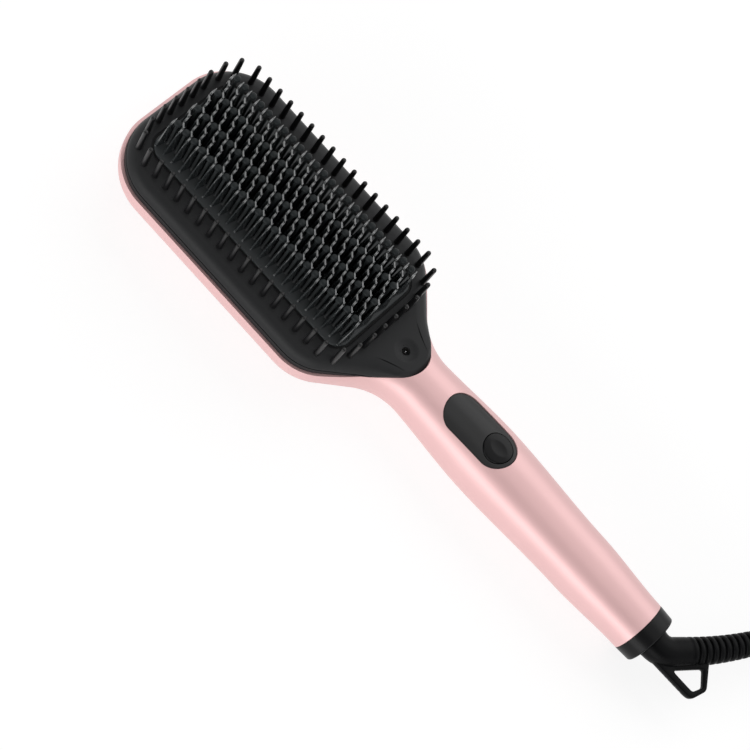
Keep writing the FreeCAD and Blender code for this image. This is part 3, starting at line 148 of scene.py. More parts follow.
def capped(wall: Array, first: Array, last: Array) -> Array:
    """A grid closed at both ends by a row that is one point.

    Args:
        wall: Points, of shape (rows, columns, 3).
        first: Point before the first row.
        last: Point after the last row.

    Returns:
        Grid of shape (rows + 2, columns, 3).
    """
    ends = [np.broadcast_to(np.array(point), (1, wall.shape[1], 3)) for point in (first, last)]
    return np.concatenate((ends[0], wall, ends[1]))


def arc(centre: Pair, radius: float, start: float, stop: float, count: int) -> Outline:
    """Points of a circular arc, without its last one, and their outward normals.

    Args:
        centre: Centre in the plan.
        radius: Radius in mm.
        start: First angle in degrees.
        stop: Last angle in degrees.
        count: How many points.

    Returns:
        Points and normals, each of shape (count, 2).
    """
    normal = ways(np.radians(np.linspace(start, stop, count, endpoint=False)))
    return np.array(centre) + radius * normal, normal


def line(start: Array, stop: Array, normal: Pair, count: int) -> Outline:
    """Points of a straight run, without its last one, and their shared normal.

    Args:
        start: First end in the plan.
        stop: Last end in the plan.
        normal: Outward normal of the run.
        count: How many points.

    Returns:
        Points and normals, each of shape (count, 2).
    """
    share = np.linspace(0.0, 1.0, count, endpoint=False)[:, None]
    points = mix(np.array(start, dtype=float), np.array(stop, dtype=float), share)
    return points, np.tile(np.array(normal, dtype=float), (count, 1))


def mirrored_loop(runs: list[Outline], last: Pair) -> Outline:
    """Runs of the +Y half of an outline, closed by their mirror image.

    Args:
        runs: Points and normals of each run, from one end of the outline to the other.
        last: The point on the long axis where the half ends; its normal is +X.

    Returns:
        Points and normals of the closed loop.
    """
    half_points, half_normals = zip(*runs, (np.array([last]), np.array([(1.0, 0.0)])))
    halves = [np.concatenate(half_points), np.concatenate(half_normals)]
    points, normals = [np.concatenate((half, half[-2:0:-1] * MIRROR_Y[:2])) for half in halves]
    return points, normals


def rounded_rectangle(half: Triple, counts: tuple[int, ...]) -> Outline:
    """Outline of a rectangle with round corners, its middle at the origin.

    Args:
        half: Half-length, half-width and corner radius.
        counts: Points on the far end's half, corner, side, corner and the near end's half.

    Returns:
        Points and outward normals of the closed outline.
    """
    half_x, half_y, radius = half
    x, y = half_x - radius, half_y - radius
    runs = [
        line((-half_x, 0.0), (-half_x, y), (-1.0, 0.0), counts[0]),
        arc((-x, y), radius, 180.0, 90.0, counts[1]),
        line((-x, half_y), (x, half_y), (0.0, 1.0), counts[2]),
        arc((x, y), radius, 90.0, 0.0, counts[3]),
        line((half_x, y), (half_x, 0.0), (1.0, 0.0), counts[4]),
    ]
    return mirrored_loop(runs, (half_x, 0.0))


def stadium(centre_x: float, half_length: float, half_width: float, count: int = 240) -> Array:
    """Outline of a slot with round ends, as points at even steps of its length.

    Args:
        centre_x: Middle of the slot along X.
        half_length: Half of its whole length.
        half_width: Half of its width and the radius of its ends.
        count: Points on both ends; the outline gets twice as many.

    Returns:
        Points in the plan, against the clock from +X.
    """
    way = ways(steps_round(count))
    shift = (half_length - half_width) * np.sign(way[:, 0])
    ends = np.stack((centre_x + shift + half_width * way[:, 0], half_width * way[:, 1]), axis=-1)
    dense = ring_closed(ends)
    run = np.concatenate(([0.0], np.cumsum(np.linalg.norm(np.diff(dense, axis=0), axis=1))))
    even = np.linspace(0.0, run[-1], 2 * count, endpoint=False)
    return np.stack([np.interp(even, run, dense[:, axis]) for axis in (0, 1)], axis=-1)


def rounded_polygon(corners: Rows, radii: tuple[float, ...], steps: int = 8) -> Array:
    """Closed outline whose corners are rounded by a curve, dense enough to interpolate.

    Each curve is a parabola that touches both sides where an arc of the corner's radius would.

    Args:
        corners: Corner places, in order against the clock.
        radii: Rounding radius of each corner.
        steps: Points on each rounding and on each straight side.

    Returns:
        Points of the outline.
    """
    place = np.array(corners, dtype=float)
    before = unit(np.roll(place, 1, axis=0) - place)
    after = unit(np.roll(place, -1, axis=0) - place)
    half = np.arccos(np.sum(before * after, axis=1)) / 2
    size = np.maximum(np.array(radii, dtype=float), LEAST_RADIUS)
    reach = (size / np.tan(half))[:, None]
    first = (place + before * reach)[:, None]
    last = (place + after * reach)[:, None]
    share = np.linspace(0.0, 1.0, steps)[None, :, None]
    rounding = (1 - share) ** 2 * first + 2 * share * (1 - share) * place[:, None] + share ** 2 * last
    along = np.linspace(0.0, 1.0, steps + 2)[None, 1:-1, None]
    side = mix(last, np.roll(first, -1, axis=0), along)
    return np.concatenate((rounding, side), axis=1).reshape(-1, 2)


def loop_normals(loop: Array) -> Array:
    """Outward normals of a closed outline that runs against the clock: its chord turned a quarter back."""
    chord = np.roll(loop, -1, axis=0) - np.roll(loop, 1, axis=0)
    return unit(np.stack((chord[:, 1], -chord[:, 0]), axis=-1))


def at_angles(loop: Array, centre: Array, angles: Array) -> Array:
    """Where rays from a centre cross a closed outline that it can see all of.

    Args:
        loop: Dense closed outline in the plan.
        centre: Point inside it.
        angles: Angles of the rays.

    Returns:
        One point for each angle: the radius is read off the outline by linear interpolation.
    """
    offset = loop - centre
    own = np.arctan2(offset[:, 1], offset[:, 0])
    order = np.argsort(own)
    away = np.hypot(offset[:, 0], offset[:, 1])
    radius = np.interp(angles, own[order], away[order], period=TURN)
    return centre + radius[:, None] * ways(angles)


def turned(points: Array, angle: float, place: Triple) -> Array:
    """Points turned about the upright axis and then moved.

    Args:
        points: Places round the origin.
        angle: Turn, in radians.
        place: Where the origin goes.

    Returns:
        The moved points.
    """
    cosine, sine = math.cos(angle), math.sin(angle)
    x = points[..., 0] * cosine - points[..., 1] * sine
    y = points[..., 0] * sine + points[..., 1] * cosine
    return stacked(x, y, points[..., 2]) + np.array(place)


def revolved(profile: Rows, sides: int) -> Array:
    """Profile of (radius, height) rows turned about the Z axis.

    Args:
        profile: Rows of radius and height.
        sides: Points round each ring.

    Returns:
        Grid of shape (rows, sides, 3).
    """
    radius, height = np.array(profile, dtype=float).T[:, :, None]
    return raised(radius[..., None] * ways(steps_round(sides)), height)


def swept(path: Array, radius: Array, sides: int) -> Array:
    """Round section carried along a path that never stands upright, with closed ends.

    The section's plane is square to the path: one axis is level, the other makes the third right angle.

    Args:
        path: Middle line, of shape (rows, 3).
        radius: Section radius at each row.
        sides: Points round the section.

    Returns:
        Grid of shape (rows + 2, sides, 3), whose first and last rows are points.
    """
    way = unit(np.gradient(path, axis=0))
    level = unit(np.cross(np.array((0.0, 0.0, 1.0)), way))
    upper = np.cross(way, level)
    angle = steps_round(sides)[None, :, None]
    spread = np.asarray(radius, dtype=float)[:, None, None]
    grid = path[:, None] + spread * (np.cos(angle) * level[:, None] + np.sin(angle) * upper[:, None])
    return capped(grid, path[0], path[-1])


def span_of(values: Array, middle: float, reach: float) -> tuple[int, int]:
    """First and last index of the rising values that take in the reach to both sides of a middle."""
    return np.searchsorted(values, middle - reach) - 1, np.searchsorted(values, middle + reach)


def new_object(name: str, data: bpy.types.ID) -> Object:
    """A mesh, lamp or camera as an object in the scene.

    Args:
        name: Name of the object.
        data: What it shows.

    Returns:
        The object.
    """
    made = bpy.data.objects.new(name, data)
    bpy.context.scene.collection.objects.link(made)
    return made


def new_node(tree: bpy.types.NodeTree, kind: str, **values: object) -> bpy.types.Node:
    """A new shader node with values in its inputs.

    Args:
        tree: Where the node goes.
        kind: Type of the node, without its first words.
        values: Values by the name of the input.

    Returns:
        The node.
    """
    made = tree.nodes.new("ShaderNode" + kind)
    for name, value in values.items():
        made.inputs[name.replace("_", " ")].default_value = value
    return made


class Grain(Enum):
    """Fine surface of a finish: size and depth of its grain in mm, and its stretch along X."""

    MOULDED = (0.28, 0.006, 1.0)
    PEARL = (0.16, 0.0015, 1.0)
    ENAMEL = (0.9, 0.004, 1.0)
    RUBBER = (0.35, 0.012, 1.0)
    BRUSHED = (0.2, 0.004, 0.04)
    FIBRE = (0.5, 0.01, 0.2)


class Crease(Enum):
    """Angle between faces, in degrees, above which a piece's edge stays sharp."""

    FINE = 28.0
    PLAIN = 38.0
    RIBBED = 50.0
    BROAD = 60.0
    ROUND = 80.0


COAT_ROUGHNESS = 0.12
FINE_DETAIL = 3.0
BROAD_SCALE = 45.0
BROAD_DETAIL = 4.0
RAMP_HALF = 0.25
ROUGHNESS_SPREAD = 0.15
BUMP_STRENGTH = 0.6


@dataclass(frozen=True)
class Finish:
    """A finish as a procedural material.

    Attributes:
        slot: The record's material slot.
        colour: Base colour, linear.
        roughness: Middle roughness; the grain moves it up and down.
        grain: Fine surface.
        metallic: Share of metal.
        specular: Strength of the plain reflection.
        coat: Clear coat over the colour.
        drift: Share by which the colour drifts over the surface.
        mark: End of the material's name, where one slot has two finishes.
    """

    slot: str
    colour: Triple
    roughness: float
    grain: Grain = Grain.MOULDED
    metallic: float = 0.0
    specular: float = 0.5
    coat: float = 0.0
    drift: float = 0.06
    mark: str = ""

    def material(self) -> bpy.types.Material:
        """Material of this finish, made once.

        Broad noise drifts the colour, fine noise moves the roughness and raises the grain.

        Returns:
            The material.
        """
        name = "finish_" + self.slot + self.mark
        made = bpy.data.materials.get(name)
        if made is not None:
            return made
        made = bpy.data.materials.new(name)
        made.use_nodes = True
        tree = made.node_tree
        link = tree.links.new
        size, depth, stretch = self.grain.value
        shader = tree.nodes["Principled BSDF"]
        shader.inputs["Metallic"].default_value = self.metallic
        shader.inputs["Specular IOR Level"].default_value = self.specular
        shader.inputs["Coat Weight"].default_value = self.coat
        shader.inputs["Coat Roughness"].default_value = COAT_ROUGHNESS
        place = new_node(tree, "TexCoord")
        turn = new_node(tree, "Mapping", Scale=(stretch, 1.0, 1.0))
        fine = new_node(tree, "TexNoise", Scale=1 / (size * MM), Detail=FINE_DETAIL)
        broad = new_node(tree, "TexNoise", Scale=BROAD_SCALE, Detail=BROAD_DETAIL)
        tint = new_node(tree, "ValToRGB")
        for stop, sign in zip(tint.color_ramp.elements, (-1, 1)):
            stop.position = 0.5 + RAMP_HALF * sign
            stop.color = tuple(min(1.0, part * (1 + sign * self.drift)) for part in self.colour) + (1.0,)
        low, high = self.roughness * (1 - ROUGHNESS_SPREAD), self.roughness * (1 + ROUGHNESS_SPREAD)
        rough = new_node(tree, "MapRange", To_Min=low, To_Max=high)
        bump = new_node(tree, "Bump", Strength=BUMP_STRENGTH, Distance=depth * MM)
        link(place.outputs["Object"], turn.inputs["Vector"])
        link(turn.outputs["Vector"], fine.inputs["Vector"])
        link(place.outputs["Object"], broad.inputs["Vector"])
        link(broad.outputs["Fac"], tint.inputs["Fac"])
        link(tint.outputs["Color"], shader.inputs["Base Color"])
        link(fine.outputs["Fac"], rough.inputs["Value"])
        link(rough.outputs["Result"], shader.inputs["Roughness"])
        link(fine.outputs["Fac"], bump.inputs["Height"])
        link(bump.outputs["Normal"], shader.inputs["Normal"])
        return made


PINK = Finish("pink_case", (0.87, 0.552, 0.548), 0.42, Grain.PEARL, metallic=0.27, drift=0.02)
BEZEL = Finish("black_bezel", (0.025, 0.0255, 0.0265), 0.42, specular=0.12)
PIN = Finish("black_pin", (0.007, 0.007, 0.0075), 0.32, specular=0.3)
ENAMEL = Finish("coated_plate", (0.036, 0.041, 0.043), 0.24, Grain.ENAMEL, specular=1.0, coat=0.9)
PLATE = Finish("coated_plate", (0.04, 0.045, 0.047), 0.36, Grain.ENAMEL, specular=0.3, mark="_base")
TIP = Finish("grey_tip", (0.015, 0.018, 0.019), 0.5, Grain.RUBBER, specular=0.15)
STEM = Finish("black_stem", (0.03, 0.033, 0.034), 0.3)
SEAL = Finish("seal", (0.005, 0.005, 0.005), 0.6, Grain.RUBBER, specular=0.2)
PANEL = Finish("panel_black", (0.034, 0.034, 0.0345), 0.3, specular=0.18)
BUTTON = Finish("button_black", (0.006, 0.006, 0.0065), 0.3, specular=0.16)
COLLAR = Finish("collar_black", (0.007, 0.007, 0.0075), 0.34, specular=0.14)
CORD = Finish("cord_black", (0.0035, 0.0036, 0.004), 0.4, Grain.RUBBER, specular=0.07)
PLUG = Finish("plug_black", (0.008, 0.008, 0.008), 0.4, specular=0.2)
NICKEL = Finish("nickel", (0.66, 0.62, 0.56), 0.22, Grain.BRUSHED, metallic=1.0)
OUTER = (PINK, BEZEL, PIN, ENAMEL, TIP, STEM, SEAL, PANEL, BUTTON, COLLAR, CORD, PLUG, NICKEL)
INNER = (
    Finish("carrier", (0.10, 0.095, 0.085), 0.5, Grain.FIBRE),
    Finish("steel", (0.55, 0.55, 0.56), 0.3, Grain.BRUSHED, metallic=1.0),
    Finish("ceramic", (0.78, 0.77, 0.73), 0.45, Grain.ENAMEL),
    Finish("mica", (0.42, 0.36, 0.25), 0.35, Grain.FIBRE, drift=0.2),
    Finish("potting", (0.02, 0.022, 0.026), 0.3, Grain.ENAMEL),
    Finish("board", (0.02, 0.14, 0.06), 0.4, Grain.FIBRE, drift=0.12),
    Finish("component", (0.03, 0.03, 0.034), 0.45),
    Finish("brass", (0.72, 0.50, 0.20), 0.26, Grain.BRUSHED, metallic=1.0),
    Finish("carbon", (0.02, 0.02, 0.022), 0.55, Grain.FIBRE),
)
FINISHES = {finish.slot: finish for finish in OUTER + INNER}


@dataclass
class Skin:
    """Point grids gathered into one mesh."""

    points: list[Array] = field(default_factory=list)
    faces: list[Array] = field(default_factory=list)
    count: int = 0

    def add(self, grid: Array, wrap: bool = False, keep: Optional[Array] = None) -> None:
        """Add one grid of points with a quad between each four neighbours.

        Args:
            grid: Points, of shape (rows, columns, 3).
            wrap: Whether the last column joins the first.
            keep: Which quads to keep, of shape (rows - 1, columns - 1).
        """
        rows, columns = grid.shape[:2]
        row, column = np.meshgrid(np.arange(rows - 1), np.arange(columns - (not wrap)), indexing="ij")
        here, below = row * columns, (row + 1) * columns
        after = (column + 1) % columns
        quads = np.stack((here + column, here + after, below + after, below + column), axis=-1)
        quads = quads.reshape(-1, 4) if keep is None else quads[keep]
        self.faces.append(quads + self.count)
        self.points.append(grid.reshape(-1, 3))
        self.count += rows * columns

    def add_copies(self, grid: Array, places: Array) -> None:
        """Add a wrapped grid once at each place, by broadcasting.

        Args:
            grid: Points of one copy, of shape (rows, columns, 3).
            places: Where the copies go, of shape (copies, 3).
        """
        one = wrapped(grid)
        first = self.count + one.count * np.arange(len(places))
        self.faces.append((one.faces[0][None] + first[:, None, None]).reshape(-1, 4))
        self.points.append((one.points[0][None] + places[:, None]).reshape(-1, 3))
        self.count += one.count * len(places)

    def piece(self, name: str, finish: Finish, body: Optional[str], crease: Crease = Crease.PLAIN) -> Object:
        """The gathered grids as one object: doubles merged, faces turned outwards, smooth up to the crease.

        Args:
            name: Name of the object.
            finish: Its finish.
            body: The body that it rides on, or none for a piece that is left unattached.
            crease: Where an edge stays sharp.

        Returns:
            The object.
        """
        mesh = bpy.data.meshes.new(name)
        points, faces = in_frame(np.concatenate(self.points)), np.concatenate(self.faces)
        mesh.from_pydata(points.tolist(), [], faces.tolist())
        work = bmesh.new()
        work.from_mesh(mesh)
        bmesh.ops.remove_doubles(work, verts=work.verts, dist=WELD)
        bmesh.ops.dissolve_degenerate(work, edges=work.edges, dist=WELD)
        bmesh.ops.recalc_face_normals(work, faces=work.faces)
        centres = [face.calc_center_median() for face in work.faces]
        middle = sum(centres, Vector()) / len(centres)
        outward = sum((centre - middle).dot(face.normal) * face.calc_area()
                      for centre, face in zip(centres, work.faces))
        if outward < 0:
            bmesh.ops.reverse_faces(work, faces=work.faces)
        work.to_mesh(mesh)
        work.free()
        mesh.polygons.foreach_set("use_smooth", np.ones(len(mesh.polygons), dtype=bool))
        mesh.set_sharp_from_angle(angle=math.radians(crease.value))
        mesh.materials.append(finish.material())
        made = new_object(name, mesh)
        if body is not None:
            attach(made, body)
        LOG.info("%s: %d faces on %s", name, len(mesh.polygons), body)
        return made


def wrapped(grid: Array) -> Skin:
    """Skin of one grid whose last column joins its first.

    Args:
        grid: Points, of shape (rows, columns, 3).

    Returns:
        The skin.
    """
    skin = Skin()
    skin.add(grid, wrap=True)
    return skin


def repeated(grid: Array, places: Array) -> Skin:
    """Skin of a wrapped grid copied to each place.

    Args:
        grid: Points of one copy.
        places: Where the copies go.

    Returns:
        The skin.
    """
    skin = Skin()
    skin.add_copies(grid, places)
    return skin


EDGE_SEGMENTS = 2
EDGE_ANGLE = math.radians(55.0)


def walled(made: Object, thickness: float, edge: float) -> None:
    """Give an open skin a wall inwards and break its edges.

    Args:
        made: Object of the skin.
        thickness: Wall in mm.
        edge: Width of the broken edges in mm.
    """
    wall = made.modifiers.new("wall", "SOLIDIFY")
    wall.thickness = thickness * MM
    wall.offset = -1.0
    wall.use_even_offset = True
    rounding = made.modifiers.new("edges", "BEVEL")
    rounding.width = edge * MM
    rounding.segments = EDGE_SEGMENTS
    rounding.limit_method = "ANGLE"
    rounding.angle_limit = EDGE_ANGLE
    rounding.harden_normals = True


def half_chord(radius: float, away: Array) -> Array:
    """Half of a circle's chord at distances from its middle: the root of the difference of the squares."""
    return np.sqrt(np.clip(radius ** 2 - away ** 2, 0, None))


@dataclass(frozen=True)
class CaseForm:
    """Outer form of the case and the places on it that pieces share, as in the part's source.

    A pair named _x holds where along the axis a stretch starts and ends; the ramp's poles are shares of
    its length and of its height.
    """

    head_end: float = 62.0
    half: float = 36.8
    corner_r: float = 24.0
    shoulder_x: float = 46.5
    shoulder_r: float = 22.0
    slope: float = math.radians(44.5)
    blend_r: float = 25.0
    neck_half: float = 12.8
    axis_z: float = 14.5
    widest_z: float = 16.5
    face_z: float = 27.0
    rim_z: float = 19.5
    seam_z: float = 8.2
    back_rise: float = 34.0
    back_lip: float = 1.5
    back_cut: float = 0.35
    top_power: float = 3.0
    back_power: float = 2.3
    round_power: float = 2.0
    blend_x: Pair = (40.0, 82.0)
    ramp_x: Pair = (48.0, 79.0)
    ramp_top: float = 28.5
    ramp_poles: tuple[tuple[float, ...], ...] = ((0.0, 0.6, 0.75, 1.0), (0.0, 0.0, 0.722, 1.0))
    ramp_steps: int = 200
    handle_x: tuple[float, ...] = (75.0, 118.0, 168.0, 201.0)
    handle_r: tuple[float, ...] = (12.7, 14.6, 13.0, 11.4)
    inset: float = 1.5
    seat_inset: float = 1.35
    seat_x: float = 60.0
    tongue_r: float = 11.5
    panel_x: float = 107.5
    panel_half: Pair = (16.7, 8.4)

    @property
    def corner_x(self) -> float:
        """Middle of the far corners along X."""
        return self.corner_r - self.head_end

    @property
    def shoulder_start(self) -> float:
        """Where the head's straight side ends."""
        return self.shoulder_x - self.shoulder_r * math.tan(self.slope / 2)

    @property
    def hollow_end(self) -> float:
        """Where the neck's hollow curve runs out into the handle."""
        corner = self.shoulder_x + (self.half - self.neck_half) / math.tan(self.slope)
        return corner + self.blend_r * math.tan(self.slope / 2)

    @property
    def tongue_x(self) -> float:
        """Middle of the tongue's round end, which the bezel's slanted sides touch."""
        reach = (self.half - self.inset / math.cos(self.slope)) / math.tan(self.slope)
        return self.shoulder_x + reach - self.tongue_r / math.sin(self.slope)

    @property
    def seat_r(self) -> float:
        """Radius of the tongue's seat in the case."""
        return self.tongue_r + self.inset - self.seat_inset

    def slant(self, x: Array) -> Array:
        """Half-width of the slanted side between head and neck."""
        return self.half - (x - self.shoulder_x) * math.tan(self.slope)

    def radius(self, x: Array) -> Array:
        """Handle radius along X, eased between its stations.

        Args:
            x: Places along the axis.

        Returns:
            Radii.
        """
        ends, sizes = np.array(self.handle_x), np.array(self.handle_r)
        index = np.clip(np.searchsorted(ends, x, side="right") - 1, 0, len(ends) - 2)
        share = smooth((x - ends[index]) / (ends[index + 1] - ends[index]))
        return mix(sizes[index], sizes[index + 1], share)

    def half_width(self, x: Array) -> Array:
        """Half-width of the outline: corner arc, side, shoulder arc, slant, hollow arc, then the handle.

        Args:
            x: Places along the axis.

        Returns:
            Half-widths.
        """
        start, hollow_end = self.shoulder_start, self.hollow_end
        shoulder_end = start + self.shoulder_r * math.sin(self.slope)
        hollow_start = hollow_end - self.blend_r * math.sin(self.slope)
        circles = ((self.corner_r, self.corner_x), (self.shoulder_r, start), (self.blend_r, hollow_end))
        corner, shoulder, hollow = [half_chord(radius, x - middle) for radius, middle in circles]
        zones = [x < self.corner_x, x < start, x < shoulder_end, x < hollow_start, x < hollow_end]
        values = [
            self.half - self.corner_r + corner,
            np.full_like(x, self.half),
            self.half - self.shoulder_r + shoulder,
            self.slant(x),
            self.neck_half + self.blend_r - hollow,
        ]
        return np.select(zones, values, self.radius(x))

    def section(self, x: Array, upper: Array) -> tuple[Array, Array, Array, Array]:
        """Numbers of the cross-section at X: half-width, middle height, reach up or down, and power.

        Args:
            x: Places along the axis.
            upper: Whether the upper half is asked for.

        Returns:
            The four numbers, of the broadcast shape.
        """
        x, upper = np.broadcast_arrays(np.asarray(x, dtype=float), upper)
        share = smooth((x - self.blend_x[0]) / (self.blend_x[1] - self.blend_x[0]))
        radius = self.radius(np.maximum(x, self.handle_x[0]))
        middle = mix(self.widest_z, self.axis_z, share)
        lift = np.clip(1 - (x + self.head_end + self.back_lip) / self.back_rise, 0, 1)
        depth = (self.widest_z + self.back_cut) * (1 - lift ** self.back_power) ** (1 / self.back_power)
        rise = mix(self.face_z, self.axis_z + radius, share) - middle
        reach = np.where(upper, rise, mix(depth, radius, share))
        power = mix(np.where(upper, self.top_power, self.back_power), self.round_power, share)
        return self.half_width(x), middle, reach, power

    def surface(self, x: Array, angle: Array) -> Array:
        """Points of the case at places X and section angles: 0 is level, a quarter turn is the top.

        The section is a superellipse in polar form: cosine and sine are divided by the power norm of both.

        Args:
            x: Places along the axis.
            angle: Section angles.

        Returns:
            Points on the +Y half.
        """
        width, middle, reach, power = self.section(x, angle >= 0)
        cosine, sine = np.clip(np.cos(angle), 0, 1), np.sin(angle)
        norm = (cosine ** power + np.abs(sine) ** power) ** (1 / power)
        return stacked(x, width * cosine / norm, np.maximum(middle + reach * sine / norm, 0.0))

    def height(self, x: Array, y: Array, upper: bool) -> Array:
        """Height of the case over or under a place of the plan, from the same superellipse.

        Args:
            x: Places along the axis.
            y: Places across it.
            upper: Whether the top is asked for, and not the back.

        Returns:
            Heights.
        """
        width, middle, reach, power = self.section(x, upper)
        share = (1 - np.clip(np.abs(y) / width, 0, 1) ** power) ** (1 / power)
        return np.maximum(middle + (reach if upper else -reach) * share, 0.0)

    def angle_at_height(self, x: Array, z: Array, upper: bool) -> Array:
        """Section angle at which the case passes a height; a quarter turn where it never does.

        Args:
            x: Places along the axis.
            z: Heights.
            upper: Whether the height is on the upper half.

        Returns:
            Angles.
        """
        _, middle, reach, power = self.section(x, upper)
        share = np.clip(np.abs(z - middle) / reach, 0, MOST_SHARE) ** power
        return (1 if upper else -1) * np.arctan((share / (1 - share)) ** (1 / power))

    def rim(self, x: Array) -> Array:
        """Height of the case's rim: level along the head, then up a soft ramp to the handle's top.

        The ramp is a cubic curve over its four poles.

        Args:
            x: Places along the axis.

        Returns:
            Heights.
        """
        t = np.linspace(0.0, 1.0, self.ramp_steps)
        weights = np.stack(((1 - t) ** 3, 3 * t * (1 - t) ** 2, 3 * t * t * (1 - t), t ** 3))
        along, up = np.array(self.ramp_poles)
        poles_x = mix(self.ramp_x[0], self.ramp_x[1], along)
        poles_z = mix(self.rim_z, self.ramp_top, up)
        return np.interp(x, poles_x @ weights, poles_z @ weights)

    def top_angle(self, x: Array) -> Array:
        """Section angle of the front case's upper edge: the rim on the head, the bezel's seat at the tongue.

        Args:
            x: Places along the axis.

        Returns:
            Angles.
        """
        width, _, _, power = self.section(x, True)
        slant = self.slant(x) - self.seat_inset / math.cos(self.slope)
        round_end = half_chord(self.seat_r, x - self.tongue_x)
        touch = self.tongue_x + self.seat_r * math.sin(self.slope)
        seat = np.select([x < self.seat_x, x < touch], [np.zeros_like(x), slant], round_end)
        share = np.clip(seat / width, LEAST_SHARE, 1) ** power
        over_seat = np.arctan(((1 - share) / share) ** (1 / power))
        return np.minimum(self.angle_at_height(x, self.rim(x), True), over_seat)


FORM = CaseForm()


@dataclass
class Case:
    """Pink case: the front shell and the back cover, which meet at a seam low on the sides.

    Attributes:
        form: Outer form.
        wall: Wall thickness.
        edge: Width of the broken edges.
        dense_x: From here on the sections crowd towards the tongue's tip.
        window_x: Gap in the grip's grid round the panel, along the axis.
        window_columns: The same gap, in columns of the grid.
        rows: Sections on the corner, side, shoulder, tongue, neck, window and tail.
        side_columns: Points from rim to seam.
        end_columns: Points across the far end.
        grip_columns: Quads round the handle's top.
        back_columns: Quads round the back.
        patch_rows: Rows between a gap's rim and the hole in it.
        screw_place: Where the screw wells are, along and across.
        well_r: Radius of a well.
        well_top: Height of its floor.
        well_margin: Room round it that the grid leaves free.
        well_points: Points of its outline.
    """

    form: CaseForm = FORM
    wall: float = 1.3
    edge: float = 0.16
    dense_x: float = 65.0
    window_x: Pair = (86.0, 129.0)
    window_columns: tuple[int, int] = (13, 35)
    rows: tuple[int, ...] = (22, 24, 30, 22, 8, 36, 40)
    side_columns: int = 25
    end_columns: int = 15
    grip_columns: int = 48
    back_columns: int = 40
    patch_rows: int = 9
    screw_place: Pair = (42.0, 27.5)
    well_r: float = 2.4
    well_top: float = 6.9
    well_margin: float = 1.4
    well_points: int = 180

    def stations(self) -> tuple[Array, Array]:
        """Places of the sections along the axis, close together at the far end and the tongue.

        Returns:
            Places of the head, which end at the tongue's tip, and of the handle, which start there.
        """
        form = self.form
        tip = form.tongue_x + form.seat_r
        near, far = self.window_x
        corner_rows, side_rows, shoulder_rows, tongue_rows, neck_rows, window_rows, tail_rows = self.rows
        corner = form.corner_x - form.corner_r * np.cos(quarter(corner_rows))
        side = np.linspace(form.corner_x, form.shoulder_start, side_rows)[1:]
        shoulder = np.linspace(form.shoulder_start, self.dense_x, shoulder_rows)[1:]
        tongue = tip - (tip - self.dense_x) * (1 - np.linspace(0, 1, tongue_rows)[1:]) ** 2
        neck = np.linspace(tip, near, neck_rows)
        window = np.linspace(near, far, window_rows)[1:]
        tail = np.linspace(far, form.handle_x[-1], tail_rows)[1:]
        return np.concatenate((corner, side, shoulder, tongue)), np.concatenate((neck, window, tail))

    def band(self, x: Array, middle: float, columns: int) -> Array:
        """The case from one seam over a middle line to the other: the angle is even on each side of it.

        Args:
            x: Places of the sections.
            middle: Section angle of the middle line.
            columns: Quads across the band.

        Returns:
            Grid of shape (places, columns + 1, 3).
        """
        turn = np.linspace(-1.0, 1.0, columns + 1)[None, :]
        seam = self.form.angle_at_height(x, self.form.seam_z, False)
        grid = self.form.surface(x[:, None], mix(middle, seam[:, None], np.abs(turn)))
        grid[..., 1] *= np.sign(turn)
        return grid

    def window(self, skin: Skin, grid: Array, span: tuple[int, ...], hole: Array, upper: bool) -> Array:
        """Fill the gap left in a grid up to a hole's edge, on the same surface.

        Each point of the gap's rim goes to the hole's edge along a ray from the hole's middle.

        Args:
            skin: Where the patch goes.
            grid: The grid with the gap.
            span: First and last row, first and last column of the gap.
            hole: Outline of the hole in the plan.
            upper: Whether the surface is the top.

        Returns:
            The hole's edge, of shape (points, 3).
        """
        top, bottom, left, right = span
        sides = (grid[top, left:right], grid[top:bottom, right],
                 grid[bottom, right:left:-1], grid[bottom:top:-1, left])
        rim = np.concatenate(sides)
        centre = (hole.min(axis=0) + hole.max(axis=0)) / 2
        angle = np.arctan2(rim[:, 1] - centre[1], rim[:, 0] - centre[0])
        edge = at_angles(hole, centre, angle)
        share = np.linspace(0.0, 1.0, self.patch_rows)[:, None, None]
        plan = mix(rim[None, :, :2], edge[None], share)
        patch = raised(plan, self.form.height(plan[..., 0], plan[..., 1], upper))
        skin.add(patch, wrap=True)
        return patch[-1]

    def build_front(self) -> None:
        """Front shell: two head sides with the far end between them, and the handle's top with its window."""
        form, skin = self.form, Skin()
        head, handle = self.stations()
        share = np.linspace(0.0, 1.0, self.side_columns)[None, :]
        top, seam = form.top_angle(head), form.angle_at_height(head, form.seam_z, False)
        side = form.surface(head[:, None], mix(top[:, None], seam[:, None], share))
        skin.add(side)
        skin.add(side * MIRROR_Y)
        across = np.linspace(1.0, -1.0, self.end_columns)[None, :]
        skin.add(stacked(side[0, :, :1], side[0, :, 1:2] * across, side[0, :, 2:]))
        grip = self.band(handle, np.pi / 2, self.grip_columns)
        rows = np.searchsorted(handle, np.array(self.window_x) - SLACK)
        keep = np.ones((len(handle) - 1, self.grip_columns), dtype=bool)
        keep[slice(*rows), slice(*self.window_columns)] = False
        skin.add(grip, keep=keep)
        hole = stadium(form.panel_x, *form.panel_half)
        self.window(skin, grip, (*rows, *self.window_columns), hole, True)
        made = skin.piece("case_front", PINK, "brush")
        walled(made, self.wall, self.edge)
        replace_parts(made, "front_shell")

